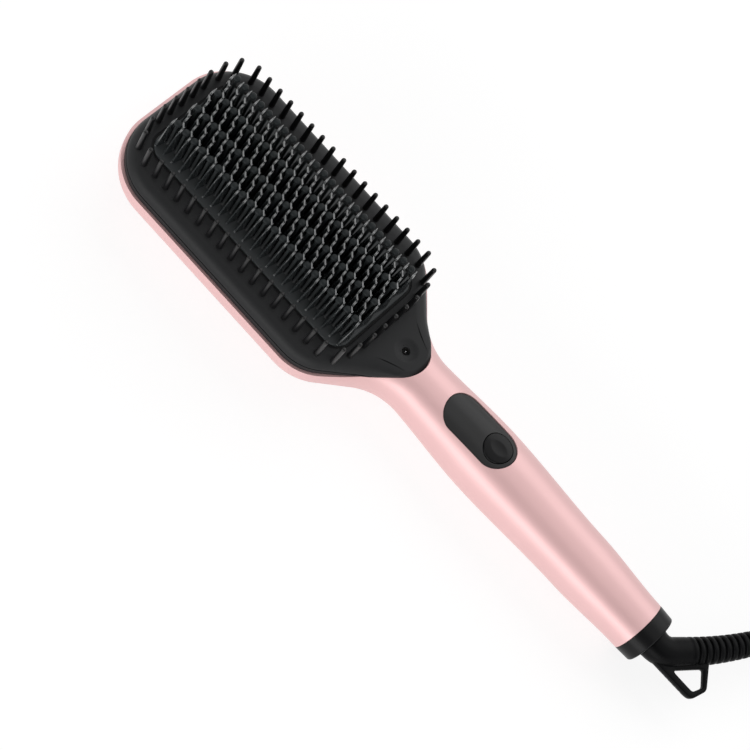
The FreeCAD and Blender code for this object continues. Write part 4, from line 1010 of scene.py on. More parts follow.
    def build_back(self) -> None:
        """Back cover: the section below the seam, with four screw wells in the head."""
        form, skin = self.form, Skin()
        head, handle = self.stations()
        x = np.concatenate((head, handle[1:]))
        _, middle, reach, _ = form.section(x, False)
        x = x[np.searchsorted(middle - reach - form.seam_z < 0, True):]
        grid = self.band(x, -np.pi / 2, self.back_columns)
        keep = np.ones((len(x) - 1, self.back_columns), dtype=bool)
        room = self.well_r + self.well_margin
        well = self.well_r * ways(steps_round(self.well_points))
        for place_x in (-self.screw_place[0], self.screw_place[0]):
            rows = span_of(x, place_x, room)
            across = grid[np.searchsorted(x, place_x), :, 1]
            for place_y in (-self.screw_place[1], self.screw_place[1]):
                columns = span_of(across, place_y, room)
                keep[slice(*rows), slice(*columns)] = False
                centre = np.array((place_x, place_y))
                edge = self.window(skin, grid, (*rows, *columns), centre + well, False)
                deep = raised(edge, self.well_top)
                floor = raised(np.broadcast_to(centre, (len(edge), 2)), self.well_top)
                skin.add(np.stack((edge, (edge + deep) / 2, deep, floor)), wrap=True)
        skin.add(grid, keep=keep)
        made = skin.piece("case_back", PINK, "brush")
        walled(made, self.wall, self.edge)
        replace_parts(made, "back_cover")

    def build(self) -> None:
        """Both halves of the case."""
        self.build_front()
        self.build_back()


@dataclass
class Bezel:
    """Black bezel round the plate, with its tongue on the neck and the outlet dish in it.

    Attributes:
        form: Outer form of the case.
        bottom_z: Height of its foot.
        edge_r: Radius of the rounded edge.
        edge_rows: Rows over that edge.
        bevel: Width of the tongue's bevel.
        bevel_slope: Its fall for each mm.
        bevel_lift: How far over the face it would end.
        tongue_ease: Where the bevel starts past the tongue's middle, and over what length it grows.
        groove_z: Height of the groove's middle.
        groove_width: Its width.
        groove_depth: Its depth.
        groove_lip: Height of its softened edges.
        groove_soft: Depth to which they are softened.
        opening: Half-length, half-width and corner radius of the opening.
        counts: Points on the far end's half, corner, side, shoulder, slant and tongue.
        face_rows: Rows across the face.
        lip_r: Rounding of the opening's edge.
        lip_rows: Rows over that rounding.
        foot_depth: Depth of the opening's wall.
        outlet_x: Middle of the outlet.
        dish_r: Radius of its dish.
        dish_depth: Depth of its dish.
        hole_r: Radius of its hole.
        well_margin: Room round the hole that is sunk out of sight.
        well_depth: How deep it is sunk.
        rim_rows: Distance from the hole's edge and height over the dish's floor, round the rim's profile.
        rim_sides: Points round the rim.
    """

    form: CaseForm = FORM
    bottom_z: float = 18.0
    edge_r: float = 6.5
    edge_rows: int = 15
    bevel: float = 1.7
    bevel_slope: float = 0.8636
    bevel_lift: float = 0.2
    tongue_ease: Pair = (1.0, 9.0)
    groove_z: float = 22.0
    groove_width: float = 0.5
    groove_depth: float = 0.7
    groove_lip: float = 0.06
    groove_soft: float = 0.04
    opening: Triple = (52.0, 22.7, 7.3)
    counts: tuple[int, ...] = (10, 22, 30, 14, 20, 24)
    face_rows: int = 44
    lip_r: float = 0.4
    lip_rows: int = 5
    foot_depth: float = 2.0
    outlet_x: float = 67.5
    dish_r: float = 4.6
    dish_depth: float = 1.1
    hole_r: float = 1.6
    well_margin: float = 0.25
    well_depth: float = 2.2
    rim_rows: Rows = ((0.85, -0.4), (0.8, 0.2), (0.6, 0.24), (0.25, 0.2), (0.05, 0.08), (0.0, -0.1),
                      (0.0, -2.0), (0.3, -2.0), (0.85, -0.4))
    rim_sides: int = 40

    def outline(self) -> Outline:
        """Outer outline: far end, corner, side, shoulder, slanted side and tongue, then the mirror image.

        Returns:
            Points and outward normals of the closed outline.
        """
        form = self.form
        end, high = form.head_end - form.inset, form.half - form.inset
        square = form.half - form.corner_r
        start = form.shoulder_start
        lean = 90.0 - math.degrees(form.slope)
        way = np.array((math.cos(math.radians(lean)), math.sin(math.radians(lean))))
        shoulder = (start, form.half - form.shoulder_r)
        shoulder_r = form.shoulder_r - form.inset
        tongue = (form.tongue_x, 0.0)
        slant_start = np.array(shoulder) + shoulder_r * way
        slant_end = np.array(tongue) + form.tongue_r * way
        runs = [
            line((-end, 0.0), (-end, square), (-1.0, 0.0), self.counts[0]),
            arc((form.corner_x, square), form.corner_r - form.inset, 180.0, 90.0, self.counts[1]),
            line((form.corner_x, high), (start, high), (0.0, 1.0), self.counts[2]),
            arc(shoulder, shoulder_r, 90.0, lean, self.counts[3]),
            line(slant_start, slant_end, tuple(way), self.counts[4]),
            arc(tongue, form.tongue_r, lean, 0.0, self.counts[5]),
        ]
        return mirrored_loop(runs, (form.tongue_x + form.tongue_r, 0.0))

    def opening_outline(self) -> Outline:
        """Opening for the plate, with as many points on each side as the outer outline has there.

        Returns:
            Points and outward normals of the closed outline.
        """
        end, corner, side, shoulder, slant, tongue = self.counts
        return rounded_rectangle(self.opening, (end, corner, side, shoulder + slant, tongue))

    def slab_depth(self, plan: Array) -> Array:
        """How far inside the rounded slab's own edge a point of the tongue's outline lies.

        The slab follows the neck's hollow arc and then its side, while the tongue cuts straight on.

        Args:
            plan: Points in the plan.

        Returns:
            Depths, zero on the head.
        """
        form = self.form
        x, y = plan[:, 0], np.abs(plan[:, 1])
        centre_y = form.neck_half + form.blend_r
        hollow = np.hypot(x - form.hollow_end, y - centre_y) - form.blend_r - form.inset
        hollow_start = form.hollow_end - (form.blend_r + form.inset) * math.sin(form.slope)
        depth = np.where(x < form.hollow_end, hollow, form.neck_half - form.inset - y)
        return np.where(x < hollow_start, 0.0, np.clip(depth, 0, None))

    def from_outlet(self, plan: Array) -> Array:
        """Distance of points of the plan from the outlet's middle."""
        return np.hypot(plan[..., 0] - self.outlet_x, plan[..., 1])

    def dish(self, plan: Array) -> Array:
        """Depth of the outlet's round dish: a spherical cap.

        Args:
            plan: Points in the plan.

        Returns:
            Depths below the face.
        """
        away = np.minimum(self.from_outlet(plan), self.dish_r)
        ball = (self.dish_r ** 2 + self.dish_depth ** 2) / (2 * self.dish_depth)
        cap = np.sqrt(ball ** 2 - away ** 2) - (ball - self.dish_depth)
        return np.clip(cap, 0, None)

    def wall(self) -> Array:
        """Outer wall: rows up the side with its groove and over the rounded edge to the face.

        The edge's inset is the rounding's, less the slab's depth, and at the tongue the bevel's.

        Returns:
            Grid of shape (rows, points, 3).
        """
        form = self.form
        outer, normal = self.outline()
        depth = self.slab_depth(outer)[None, :]
        ease_start, ease_length = self.tongue_ease
        on_tongue = smooth((outer[:, 0] - form.tongue_x - ease_start) / ease_length)[None, :]
        start_z = form.face_z - self.edge_r
        bevel_z = form.face_z + self.bevel_lift - self.bevel * self.bevel_slope
        low = self.groove_z - self.groove_width / 2
        high = self.groove_z + self.groove_width / 2
        groove = (low - self.groove_lip, low, low, high, high, high + self.groove_lip)
        rise = np.linspace(math.asin((high - start_z) / self.edge_r), np.pi / 2, self.edge_rows)[1:]
        edge = np.sort(np.append(start_z + self.edge_r * np.sin(rise), bevel_z))
        level = np.concatenate(((self.bottom_z, start_z), groove, edge))
        sunk = np.zeros_like(level)
        sunk[4:6] = self.groove_depth
        sunk[[3, 6]] = self.groove_soft
        lift = np.clip(level - start_z, 0, self.edge_r)
        rounding = (self.edge_r - np.sqrt(self.edge_r ** 2 - lift ** 2))[:, None] - depth
        bevel = np.clip((level - bevel_z) / self.bevel_slope, 0, None)[:, None] * on_tongue
        inset = np.maximum(np.maximum(rounding, bevel), sunk[:, None])
        return raised(outer[None] - normal[None] * inset[..., None], level[:, None])

    def build(self) -> None:
        """Bezel as one closed ring: the wall, the face with its dish, the opening's lip and its foot."""
        face_z = self.form.face_z
        wall = self.wall()
        opening, away = self.opening_outline()
        share = np.linspace(0.0, 1.0, self.face_rows)[1:, None, None]
        plan = mix(wall[-1:, :, :2], (opening + away * self.lip_r)[None], share)
        well = self.from_outlet(plan) < self.hole_r + self.well_margin
        face = raised(plan, face_z - self.dish(plan) - self.well_depth * well)
        turn = quarter(self.lip_rows)[1:, None]
        plan = opening[None] + away[None] * self.lip_r * (1 - np.sin(turn))[..., None]
        lip = raised(plan, face_z - self.lip_r * (1 - np.cos(turn)))
        foot = raised(opening[None], face_z - self.foot_depth)
        skin = wrapped(ring_closed(np.concatenate((wall, face, lip, foot))))
        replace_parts(skin.piece("bezel", BEZEL, "brush", Crease.BROAD), "front_bezel")
        self.build_outlet()

    def build_outlet(self) -> None:
        """Rim of the outlet's hole: a profile turned about the hole's axis."""
        place = np.array((self.outlet_x, 0.0, self.form.face_z - self.dish_depth))
        profile = np.array(self.rim_rows) + np.array((self.hole_r, 0.0))
        wrapped(revolved(profile, self.rim_sides) + place).piece("outlet_rim", BEZEL, "brush")


@dataclass
class ToothField:
    """Heated plate with its staggered fins, joined into ribbons, and ball-tipped bristles.

    Attributes:
        plate_half: Half-length, half-width and corner radius of the plate.
        plate_counts: Points on the plate's end half, corner, side, corner and end half.
        plate_top: Height of its face.
        plate_bottom: Height of its foot.
        plate_edge: Rounding of its edge.
        plate_rows: Rows over that rounding.
        pitch: Step between bristle columns.
        row_y: Step between rows.
        columns: Columns to each side of the middle one.
        rows: Rows to each side of the middle one.
        fin_top: Height of the fins.
        full_half: Half-width and half-length of a full fin's foot.
        short_half: The same for a short fin.
        crest_half: The same for a crest.
        crest_drop: Fall of the crest at its ends.
        point_slope: Length of a fin's point for each mm of its half-width.
        levels: Rows of a fin, as shares of its height.
        wide_trim: What each row adds to the half-width.
        long_trim: What each row adds to the half-length.
        slim: Half-width where the points start, as a share of the whole.
        blunt: Half-width of the points' ends, as a share of the whole.
        flat: Share of the straight length that the sides keep, and the least length.
        tip: How far the points are cut back, as a share.
        lean: How far the crest moves along X for each mm across.
        web_end: Where a web leaves its fin's crest.
        web_half: Half of its thickness.
        web_drop: How far its top is below the crest.
        web_rows: Height of its rows over the plate or under its top, and the share of the thickness.
        web_points: Places of its corners along its line, as shares, and their side.
        stem: Radius and height along a bristle.
        ball: Radius and height along its tip.
        stem_sides: Points round a bristle.
        ball_sides: Points round its tip.
    """

    plate_half: Triple = (51.2, 21.9, 6.5)
    plate_counts: tuple[int, ...] = (8, 14, 24, 14, 8)
    plate_top: float = 27.5
    plate_bottom: float = 24.95
    plate_edge: float = 0.5
    plate_rows: int = 5
    pitch: float = 4.27
    row_y: float = 5.05
    columns: int = 11
    rows: int = 3
    fin_top: float = 41.5
    full_half: Pair = (1.25, 4.8)
    short_half: Pair = (1.25, 4.1)
    crest_half: Pair = (0.5, 3.2)
    crest_drop: float = 1.3
    point_slope: float = 2.24
    levels: tuple[float, ...] = (-0.004, 0.025, 0.9, 0.975, 1.0)
    wide_trim: tuple[float, ...] = (0.25, 0.0, 0.0, -0.03, -0.14)
    long_trim: tuple[float, ...] = (0.25, 0.0, 0.0, -0.05, -0.25)
    slim: float = 0.86
    blunt: float = 0.28
    flat: Pair = (0.62, 0.1)
    tip: float = 0.35
    lean: float = 0.12
    web_end: float = 1.7
    web_half: float = 0.42
    web_drop: float = 0.12
    web_rows: Rows = ((-0.05, 2.0), (-0.4, 1.05), (-0.1, 0.9), (0.0, 0.6))
    web_points: Rows = ((-0.08, 0.0), (0.1, 1.0), (0.9, 1.0), (1.08, 0.0), (0.9, -1.0), (0.1, -1.0))
    stem: Rows = ((0.0, 27.4), (1.0, 27.4), (0.95, 27.7), (0.7, 28.0), (0.6, 42.6), (0.0, 42.7))
    ball: Rows = ((0.0, 42.55), (0.72, 42.55), (1.1, 42.85), (1.36, 43.35), (1.42, 43.75), (1.3, 44.25),
                  (0.95, 44.65), (0.5, 44.86), (0.0, 44.9))
    stem_sides: int = 8
    ball_sides: int = 10

    def build_plate(self) -> None:
        """Plate: its rounded-rectangle outline carried up a rounded edge and in to the middle."""
        outer, normal = rounded_rectangle(self.plate_half, self.plate_counts)
        turn = quarter(self.plate_rows)
        inset = np.concatenate(([0.0], self.plate_edge * (1 - np.cos(turn))))[:, None, None]
        edge = self.plate_top - self.plate_edge * (1 - np.sin(turn))
        level = np.concatenate(([self.plate_bottom], edge))[:, None]
        wall = raised(outer[None] - normal[None] * inset, level)
        plate = capped(wall, (0.0, 0.0, self.plate_bottom), (0.0, 0.0, self.plate_top))
        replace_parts(wrapped(plate).piece("plate", PLATE, "brush"), "heating_plate")

    def fin(self, base: Pair) -> Array:
        """One fin: a ten-cornered lens drawn in from foot to crest, with a soft foot and an arched crest.

        The crest falls with the fourth power of the distance from the fin's middle, and it is turned a
        little on its foot: the turn grows with the height.

        Args:
            base: Half-width and half-length of the foot.

        Returns:
            Grid of shape (rows, 10, 3).
        """
        share = np.array(self.levels)
        wide = mix(base[0], self.crest_half[0], share) + np.array(self.wide_trim)
        long = mix(base[1], self.crest_half[1], share) + np.array(self.long_trim)
        slim, blunt = self.slim * wide, self.blunt * wide
        flat = self.flat[0] * (long - self.point_slope * wide) + self.flat[1]
        tip = long - self.tip * self.point_slope * blunt
        zero = np.zeros_like(wide)
        x = np.stack((slim, wide, slim, blunt, -blunt, -slim, -wide, -slim, -blunt, blunt), axis=-1)
        y = np.stack((-flat, zero, flat, tip, tip, flat, zero, -flat, -tip, -tip), axis=-1)
        share = share[:, None]
        arch = self.crest_drop * share ** 4 * (y / self.crest_half[1]) ** 4
        level = mix(self.plate_top, self.fin_top, share) - np.where(share > 0.5, arch, 0.0)
        wall = stacked(x - self.lean * y * share, y, level)
        return capped(wall, (0.0, 0.0, level[0, 1]), (0.0, 0.0, level[-1, 1]))

    def web(self) -> Array:
        """One web: a slim wall from a fin's crest to the next row's, half a pitch on, with a rounded top.

        Its corners lie along the line between the two crests and to both sides of it.

        Returns:
            Grid of shape (rows, 6, 3).
        """
        shift = self.lean * self.web_end
        start = np.array((shift, -self.web_end))
        stop = np.array((self.pitch / 2 - shift, self.web_end - self.row_y))
        way = unit(stop - start)
        along, side = np.array(self.web_points).T[:, :, None]
        height, share = np.array(self.web_rows).T
        spread = side * self.web_half * np.array((way[1], -way[0]))
        plan = mix(start, stop, along)[None] + spread[None] * share[:, None, None]
        level = self.fin_top - self.web_drop + height
        level[0] = self.plate_top + height[0]
        middle = (start + stop) / 2
        return capped(raised(plan, level[:, None]), (*middle, level[0]), (*middle, level[-1]))

    def places(self, odd_rows: bool, between: bool) -> Array:
        """Places on the plate, as a lattice of columns and rows.

        Args:
            odd_rows: Whether the rows are the odd ones.
            between: Whether the places stand between the bristle columns.

        Returns:
            Places, of shape (count, 3).
        """
        column = np.arange(-self.columns - between, self.columns + 1) + 0.5 * between
        last = self.rows if odd_rows else self.rows - 1
        x, y = np.meshgrid(column * self.pitch, np.arange(-last, last + 1, 2) * self.row_y)
        return stacked(x, y, 0.0).reshape(-1, 3)

    def build(self) -> None:
        """Plate, fins with their webs, stems and tips."""
        self.build_plate()
        full, short = self.places(True, True), self.places(False, False)
        bristles = self.places(True, False)
        onward = (full[:, 1] > full[:, 1].min()) & (full[:, 0] < full[:, 0].max())
        fins = repeated(self.fin(self.full_half), full)
        fins.add_copies(self.fin(self.short_half), short)
        fins.add_copies(self.web(), np.concatenate((full[onward], short)))
        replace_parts(fins.piece("fins", ENAMEL, "brush", Crease.FINE), "heating_fins")
        stems = repeated(revolved(self.stem, self.stem_sides), bristles)
        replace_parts(stems.piece("stems", STEM, "brush"), "bristle_stems")
        tips = repeated(revolved(self.ball, self.ball_sides), bristles)
        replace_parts(tips.piece("tips", TIP, "brush", Crease.ROUND), "bristle_tips")


@dataclass
class GuardRing:
    """Ring of cool pins on the bezel round the field.

    A count is of the pins to each side of a row's middle one, the corners are the two pins at one corner,
    and the profile holds radii and heights along a pin.
    """

    pitch: float = 5.8
    side_y: float = 27.7
    side_count: int = 8
    end_x: float = 55.8
    end_count: int = 2
    corners: Rows = ((55.0, 18.5), (52.5, 24.5))
    profile: Rows = ((0.0, 25.0), (1.22, 25.0), (1.18, 27.6), (0.98, 38.7), (0.93, 39.15), (0.76, 39.5),
                     (0.45, 39.67), (0.0, 39.7))
    sides: int = 12

    def places(self) -> Array:
        """Two rows along the sides, one across each end and two pins at each corner.

        Returns:
            Places, of shape (count, 3).
        """
        along = np.arange(-self.side_count, self.side_count + 1)[:, None] * self.pitch
        across = np.arange(-self.end_count, self.end_count + 1)[:, None] * self.pitch
        sign = np.array((-1.0, 1.0))
        sides = stacked(along, self.side_y * sign, 0.0).reshape(-1, 3)
        ends = stacked(self.end_x * sign, across, 0.0).reshape(-1, 3)
        flip = stacked(sign[:, None], sign[None, :], 1.0).reshape(-1, 1, 3)
        corners = (raised(np.array(self.corners), 0.0)[None] * flip).reshape(-1, 3)
        return np.concatenate((sides, ends, corners))

    def build(self) -> None:
        """Pins: a tapered profile with a rounded tip, turned and repeated at each place."""
        pins = repeated(revolved(self.profile, self.sides), self.places())
        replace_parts(pins.piece("pins", PIN, "brush", Crease.BROAD), "guard_pins")


@dataclass
class ControlPanel:
    """Oval panel on the grip and the round button in it.

    The panel lies in its window with a gap, a recess below the grip's surface; its edge rows go in from the
    outline, out from the hole, and fall below the face. The button stands proud of the panel; its rows are
    shares of its radius, and the ball that dishes it has a radius and a depth of its own.
    """

    form: CaseForm = FORM
    gap: float = 0.15
    recess: float = 0.35
    thickness: float = 1.6
    edge_in: tuple[float, ...] = (0.0, 0.0, 0.06, 0.22, 0.5)
    hole_out: tuple[float, ...] = (0.35, 0.15, 0.04, 0.0, 0.0)
    edge_fall: tuple[float, ...] = (0.3, 0.1, 0.02, 0.0)
    face_rows: int = 22
    sides: int = 128
    button_x: float = 116.6
    hole_r: float = 6.0
    button_r: float = 5.75
    proud: float = 0.15
    dish_r: float = 24.0
    dish_depth: float = 0.35
    button_wall: float = 2.4
    cap_share: tuple[float, ...] = (0.0, 1.0, 1.0, 0.995, 0.97, 0.93)
    cap_fall: tuple[float, ...] = (0.28, 0.14, 0.05, 0.0)
    cap_start: float = 0.9
    cap_rows: int = 16
    cap_sides: int = 64

    def face(self, x: Array, y: Array, sunk: float) -> Array:
        """Height of the grip's round top, sunk by a distance along its radius.

        Args:
            x: Places along the axis.
            y: Places across it.
            sunk: Distance below the grip's surface.

        Returns:
            Heights.
        """
        radius = self.form.radius(np.asarray(x, dtype=float)) - sunk
        return self.form.axis_z + np.sqrt(radius ** 2 - np.asarray(y) ** 2)

    def build_panel(self) -> None:
        """Panel: a closed ring between its outline and the button's hole, on rays from the hole's middle."""
        angle = steps_round(self.sides)
        centre = np.array((self.button_x, 0.0))
        half_length, half_width = np.array(self.form.panel_half) - self.gap
        outer = at_angles(stadium(self.form.panel_x, half_length, half_width), centre, angle)
        inner = centre + self.hole_r * ways(angle)
        length = np.linalg.norm(outer - inner, axis=1)[None, :]
        share_out = np.array(self.edge_in)[:, None] / length
        share_in = 1 - np.array(self.hole_out)[:, None] / length
        share_mid = mix(share_out[-1], share_in[0], np.linspace(0.0, 1.0, self.face_rows)[1:-1, None])
        share = np.concatenate((share_out, share_mid, share_in))[..., None]
        drop = np.array((self.thickness, *self.edge_fall))
        fall = np.concatenate((drop, np.zeros(len(share_mid)), drop[::-1]))[:, None]
        plan = mix(outer[None], inner[None], share)
        top = self.face(plan[..., 0], plan[..., 1], self.recess) - fall
        skin = wrapped(ring_closed(raised(plan, top)))
        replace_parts(skin.piece("panel", PANEL, "brush"), "control_panel")

    def build_button(self) -> None:
        """Button: rings from its foot up a rounded edge to the dished middle; the dish is a ball's cap."""
        dished = np.linspace(self.cap_start, 0.0, self.cap_rows)
        radius = np.concatenate((self.cap_share, dished)) * self.button_r
        side = (self.button_wall, self.button_wall)
        fall = np.concatenate((side, self.cap_fall, np.zeros(self.cap_rows)))[:, None]
        plan = np.array((self.button_x, 0.0)) + radius[:, None, None] * ways(steps_round(self.cap_sides))
        sunk = self.recess - self.proud
        curved = self.face(plan[..., 0], plan[..., 1], sunk)
        top = self.form.axis_z + self.form.radius(np.array(self.button_x)) - sunk
        ball = top - self.dish_depth + self.dish_r - np.sqrt(self.dish_r ** 2 - radius ** 2)
        level = np.where(fall == 0, np.minimum(curved, ball[:, None]), curved - fall)
        level[0] = level.min()
        skin = wrapped(raised(plan, level))
        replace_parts(skin.piece("button_cap", BUTTON, "button"), "power_button")

    def build(self) -> None:
        """Panel and button."""
        self.build_panel()
        self.build_button()


@dataclass
class EndCollar:
    """Black collar on the handle's end: its profile as places along the axis and radii."""

    form: CaseForm = FORM
    sides: int = 72
    rows: Rows = ((201.04, 9.3), (201.04, 11.2), (201.16, 11.37), (201.4, 11.4), (207.2, 11.12),
                  (207.5, 11.06), (207.78, 10.86), (207.95, 10.58), (208.0, 10.3), (208.0, 5.5),
                  (207.9, 5.2), (207.6, 5.05), (196.0, 5.05), (196.0, 9.2), (201.04, 9.3))

    def build(self) -> None:
        """Collar: a closed profile turned about the handle's axis."""
        along, radius = np.array(self.rows).T[:, :, None]
        round_y, round_z = ways(steps_round(self.sides)).T
        skin = wrapped(stacked(along, radius * round_y, self.form.axis_z + radius * round_z))
        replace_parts(skin.piece("collar", COLLAR, "brush"), "end_collar")


@dataclass
class CordBoot:
    """Swivelling boot: elbow, ribbed strain relief and hanging loop.

    Attributes:
        axis_z: Height of the swivel's axis.
        start: Places of the first rows along the axis, and how far each is under the first radius.
        start_r: Radius at the collar.
        elbow_x: Where the elbow's straight lines meet.
        turn: Turn of the elbow.
        bend_r: Radius of its bend.
        bend_rows: Rows round the bend.
        exit_r: Radius where the ribs start.
        exit_run: Distance from the elbow to the ribs.
        bend_taper: Share of the way to the ribs' radius at the bend's start and end.
        exit_rows: Rows between the bend and the ribs.
        exit_taper: Share of the rest of that way at the first and the last of them.
        boot_bend: Radius of the ribbed part's curve.
        ribs: How many ribs there are.
        pitch: Step between ribs.
        crest: Length of a rib's top.
        flank: Length of a rib's side.
        depth: Depth of the grooves.
        rib_edge: Length and depth of a rib's rounded edge.
        end_r: Radius at the end of the boot.
        tail: Length of the plain end.
        tail_edge: Distance from the end, and depth, of the rounded end.
        sides: Points round the sleeve.
        loop_outer: Corners of the hanging loop's outline.
        loop_outer_r: Their radii.
        loop_hole: Corners of its hole.
        loop_hole_r: Their radii.
        loop_half: Half of its thickness.
        loop_soft: Rounding of its edges.
        loop_sides: Points round the loop.
        loop_rows: Rows over its outer and over its inner side.
    """

    axis_z: float = FORM.axis_z
    start: Rows = ((208.4, 0.35), (208.65, 0.06), (209.3, 0.0))
    start_r: float = 6.45
    elbow_x: float = 214.5
    turn: float = math.radians(50.0)
    bend_r: float = 9.0
    bend_rows: int = 17
    exit_r: float = 5.65
    exit_run: float = 11.0
    bend_taper: Pair = (0.2, 0.8)
    exit_rows: int = 4
    exit_taper: Pair = (0.2, 0.9)
    boot_bend: float = 160.0
    ribs: int = 15
    pitch: float = 2.8
    crest: float = 1.6
    flank: float = 0.3
    depth: float = 0.95
    rib_edge: Pair = (0.16, 0.14)
    end_r: float = 4.2
    tail: float = 4.0
    tail_edge: Rows = ((0.5, 0.0), (0.15, 0.15), (0.0, 0.5))
    sides: int = 36
    loop_outer: Rows = ((211.5, -5.6), (233.8, -5.1), (236.2, 2.4), (228.5, 13.2), (220.0, 6.0))
    loop_outer_r: tuple[float, ...] = (0.0, 3.6, 3.0, 0.0, 0.0)
    loop_hole: Rows = ((221.6, -2.2), (232.4, -2.1), (234.2, 2.2), (229.8, 7.6))
    loop_hole_r: tuple[float, ...] = (0.8, 1.8, 1.5, 0.9)
    loop_half: float = 1.6
    loop_soft: float = 0.9
    loop_sides: int = 120
    loop_rows: int = 9

    def straight(self, run: Array) -> Array:
        """Points past the elbow, at distances from where its straight lines meet."""
        return stacked(self.elbow_x + run * math.cos(self.turn), run * math.sin(self.turn), self.axis_z)

    def ribbed(self, run: Array) -> Array:
        """Middle line of the ribbed part: an arc that starts where the elbow ends.

        Args:
            run: Distances along it.

        Returns:
            Points.
        """
        heading = self.turn + run / self.boot_bend
        x = self.boot_bend * (np.sin(heading) - math.sin(self.turn))
        y = self.boot_bend * (math.cos(self.turn) - np.cos(heading))
        return self.straight(self.exit_run) + stacked(x, y, 0.0)

    def elbow(self) -> tuple[Array, Array]:
        """Middle line and radius from the collar round the elbow to the ribs.

        Returns:
            Points and radii.
        """
        reach = self.bend_r * math.tan(self.turn / 2)
        turn = np.linspace(0.0, self.turn, self.bend_rows)
        bend_x = self.elbow_x - reach + self.bend_r * np.sin(turn)
        bend = stacked(bend_x, self.bend_r * (1 - np.cos(turn)), self.axis_z)
        first_x, under = np.array(self.start).T
        out = np.linspace(reach, self.exit_run, self.exit_rows + 2)[1:-1]
        bend_radius = mix(self.start_r, self.exit_r, np.linspace(*self.bend_taper, self.bend_rows))
        out_radius = mix(bend_radius[-1], self.exit_r, np.linspace(*self.exit_taper, self.exit_rows))
        path = np.concatenate((stacked(first_x, 0.0, self.axis_z), bend, self.straight(out)))
        return path, np.concatenate((self.start_r - under, bend_radius, out_radius))

    def ribs_and_tail(self) -> tuple[Array, Array]:
        """Middle line and radius of the ribbed part: the radius tapers, less a step in at each groove.

        Returns:
            Points and radii.
        """
        edge, soft = self.rib_edge
        step = np.array((0.0, edge, self.crest - edge, self.crest, self.crest + self.flank,
                         self.pitch - self.flank))
        sunk = np.array((soft, 0.0, 0.0, soft, self.depth, self.depth))
        ribbed = self.ribs * self.pitch
        back, tail_sunk = np.array(self.tail_edge).T
        rib_run = (np.arange(self.ribs)[:, None] * self.pitch + step).ravel()
        run = np.concatenate((rib_run, (ribbed, ribbed + edge), ribbed + self.tail - back))
        radius = mix(self.exit_r, self.end_r, run / (ribbed + self.tail))
        return self.ribbed(run), radius - np.concatenate((np.tile(sunk, self.ribs), (soft, 0.0), tail_sunk))

    def build_sleeve(self) -> Object:
        """Sleeve: a round section along the elbow and the ribbed part.

        Returns:
            The sleeve.
        """
        path, radius = [np.concatenate(parts) for parts in zip(self.elbow(), self.ribs_and_tail())]
        made = wrapped(swept(path, radius, self.sides)).piece("boot_sleeve", CORD, "swivel", Crease.RIBBED)
        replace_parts(made, "cord_boot")
        return made

    def build_loop(self) -> Object:
        """Hanging loop: a ring between its outline and its hole, with rounded edges above and below.

        Returns:
            The loop.
        """
        angle = steps_round(self.loop_sides)
        hole = rounded_polygon(self.loop_hole, self.loop_hole_r)
        centre = hole.mean(axis=0)
        inner = at_angles(hole, centre, angle)
        outer = at_angles(rounded_polygon(self.loop_outer, self.loop_outer_r), centre, angle)
        turn = np.radians(np.linspace(-90.0, 90.0, self.loop_rows))[:, None]
        rounding = (self.loop_soft * (1 - np.cos(turn)))[..., None]
        height = np.sign(turn) * (self.loop_half - self.loop_soft) + self.loop_soft * np.sin(turn)
        up = raised(outer[None] - loop_normals(outer)[None] * rounding, self.axis_z + height)
        down = raised(inner[None] + loop_normals(inner)[None] * rounding, self.axis_z + height)
        skin = wrapped(ring_closed(np.concatenate((up, down[::-1]))))
        return skin.piece("hanging_loop", CORD, "swivel")

    def build(self) -> list[Object]:
        """Sleeve and loop, which both go with the cord."""
        return [self.build_sleeve(), self.build_loop()]


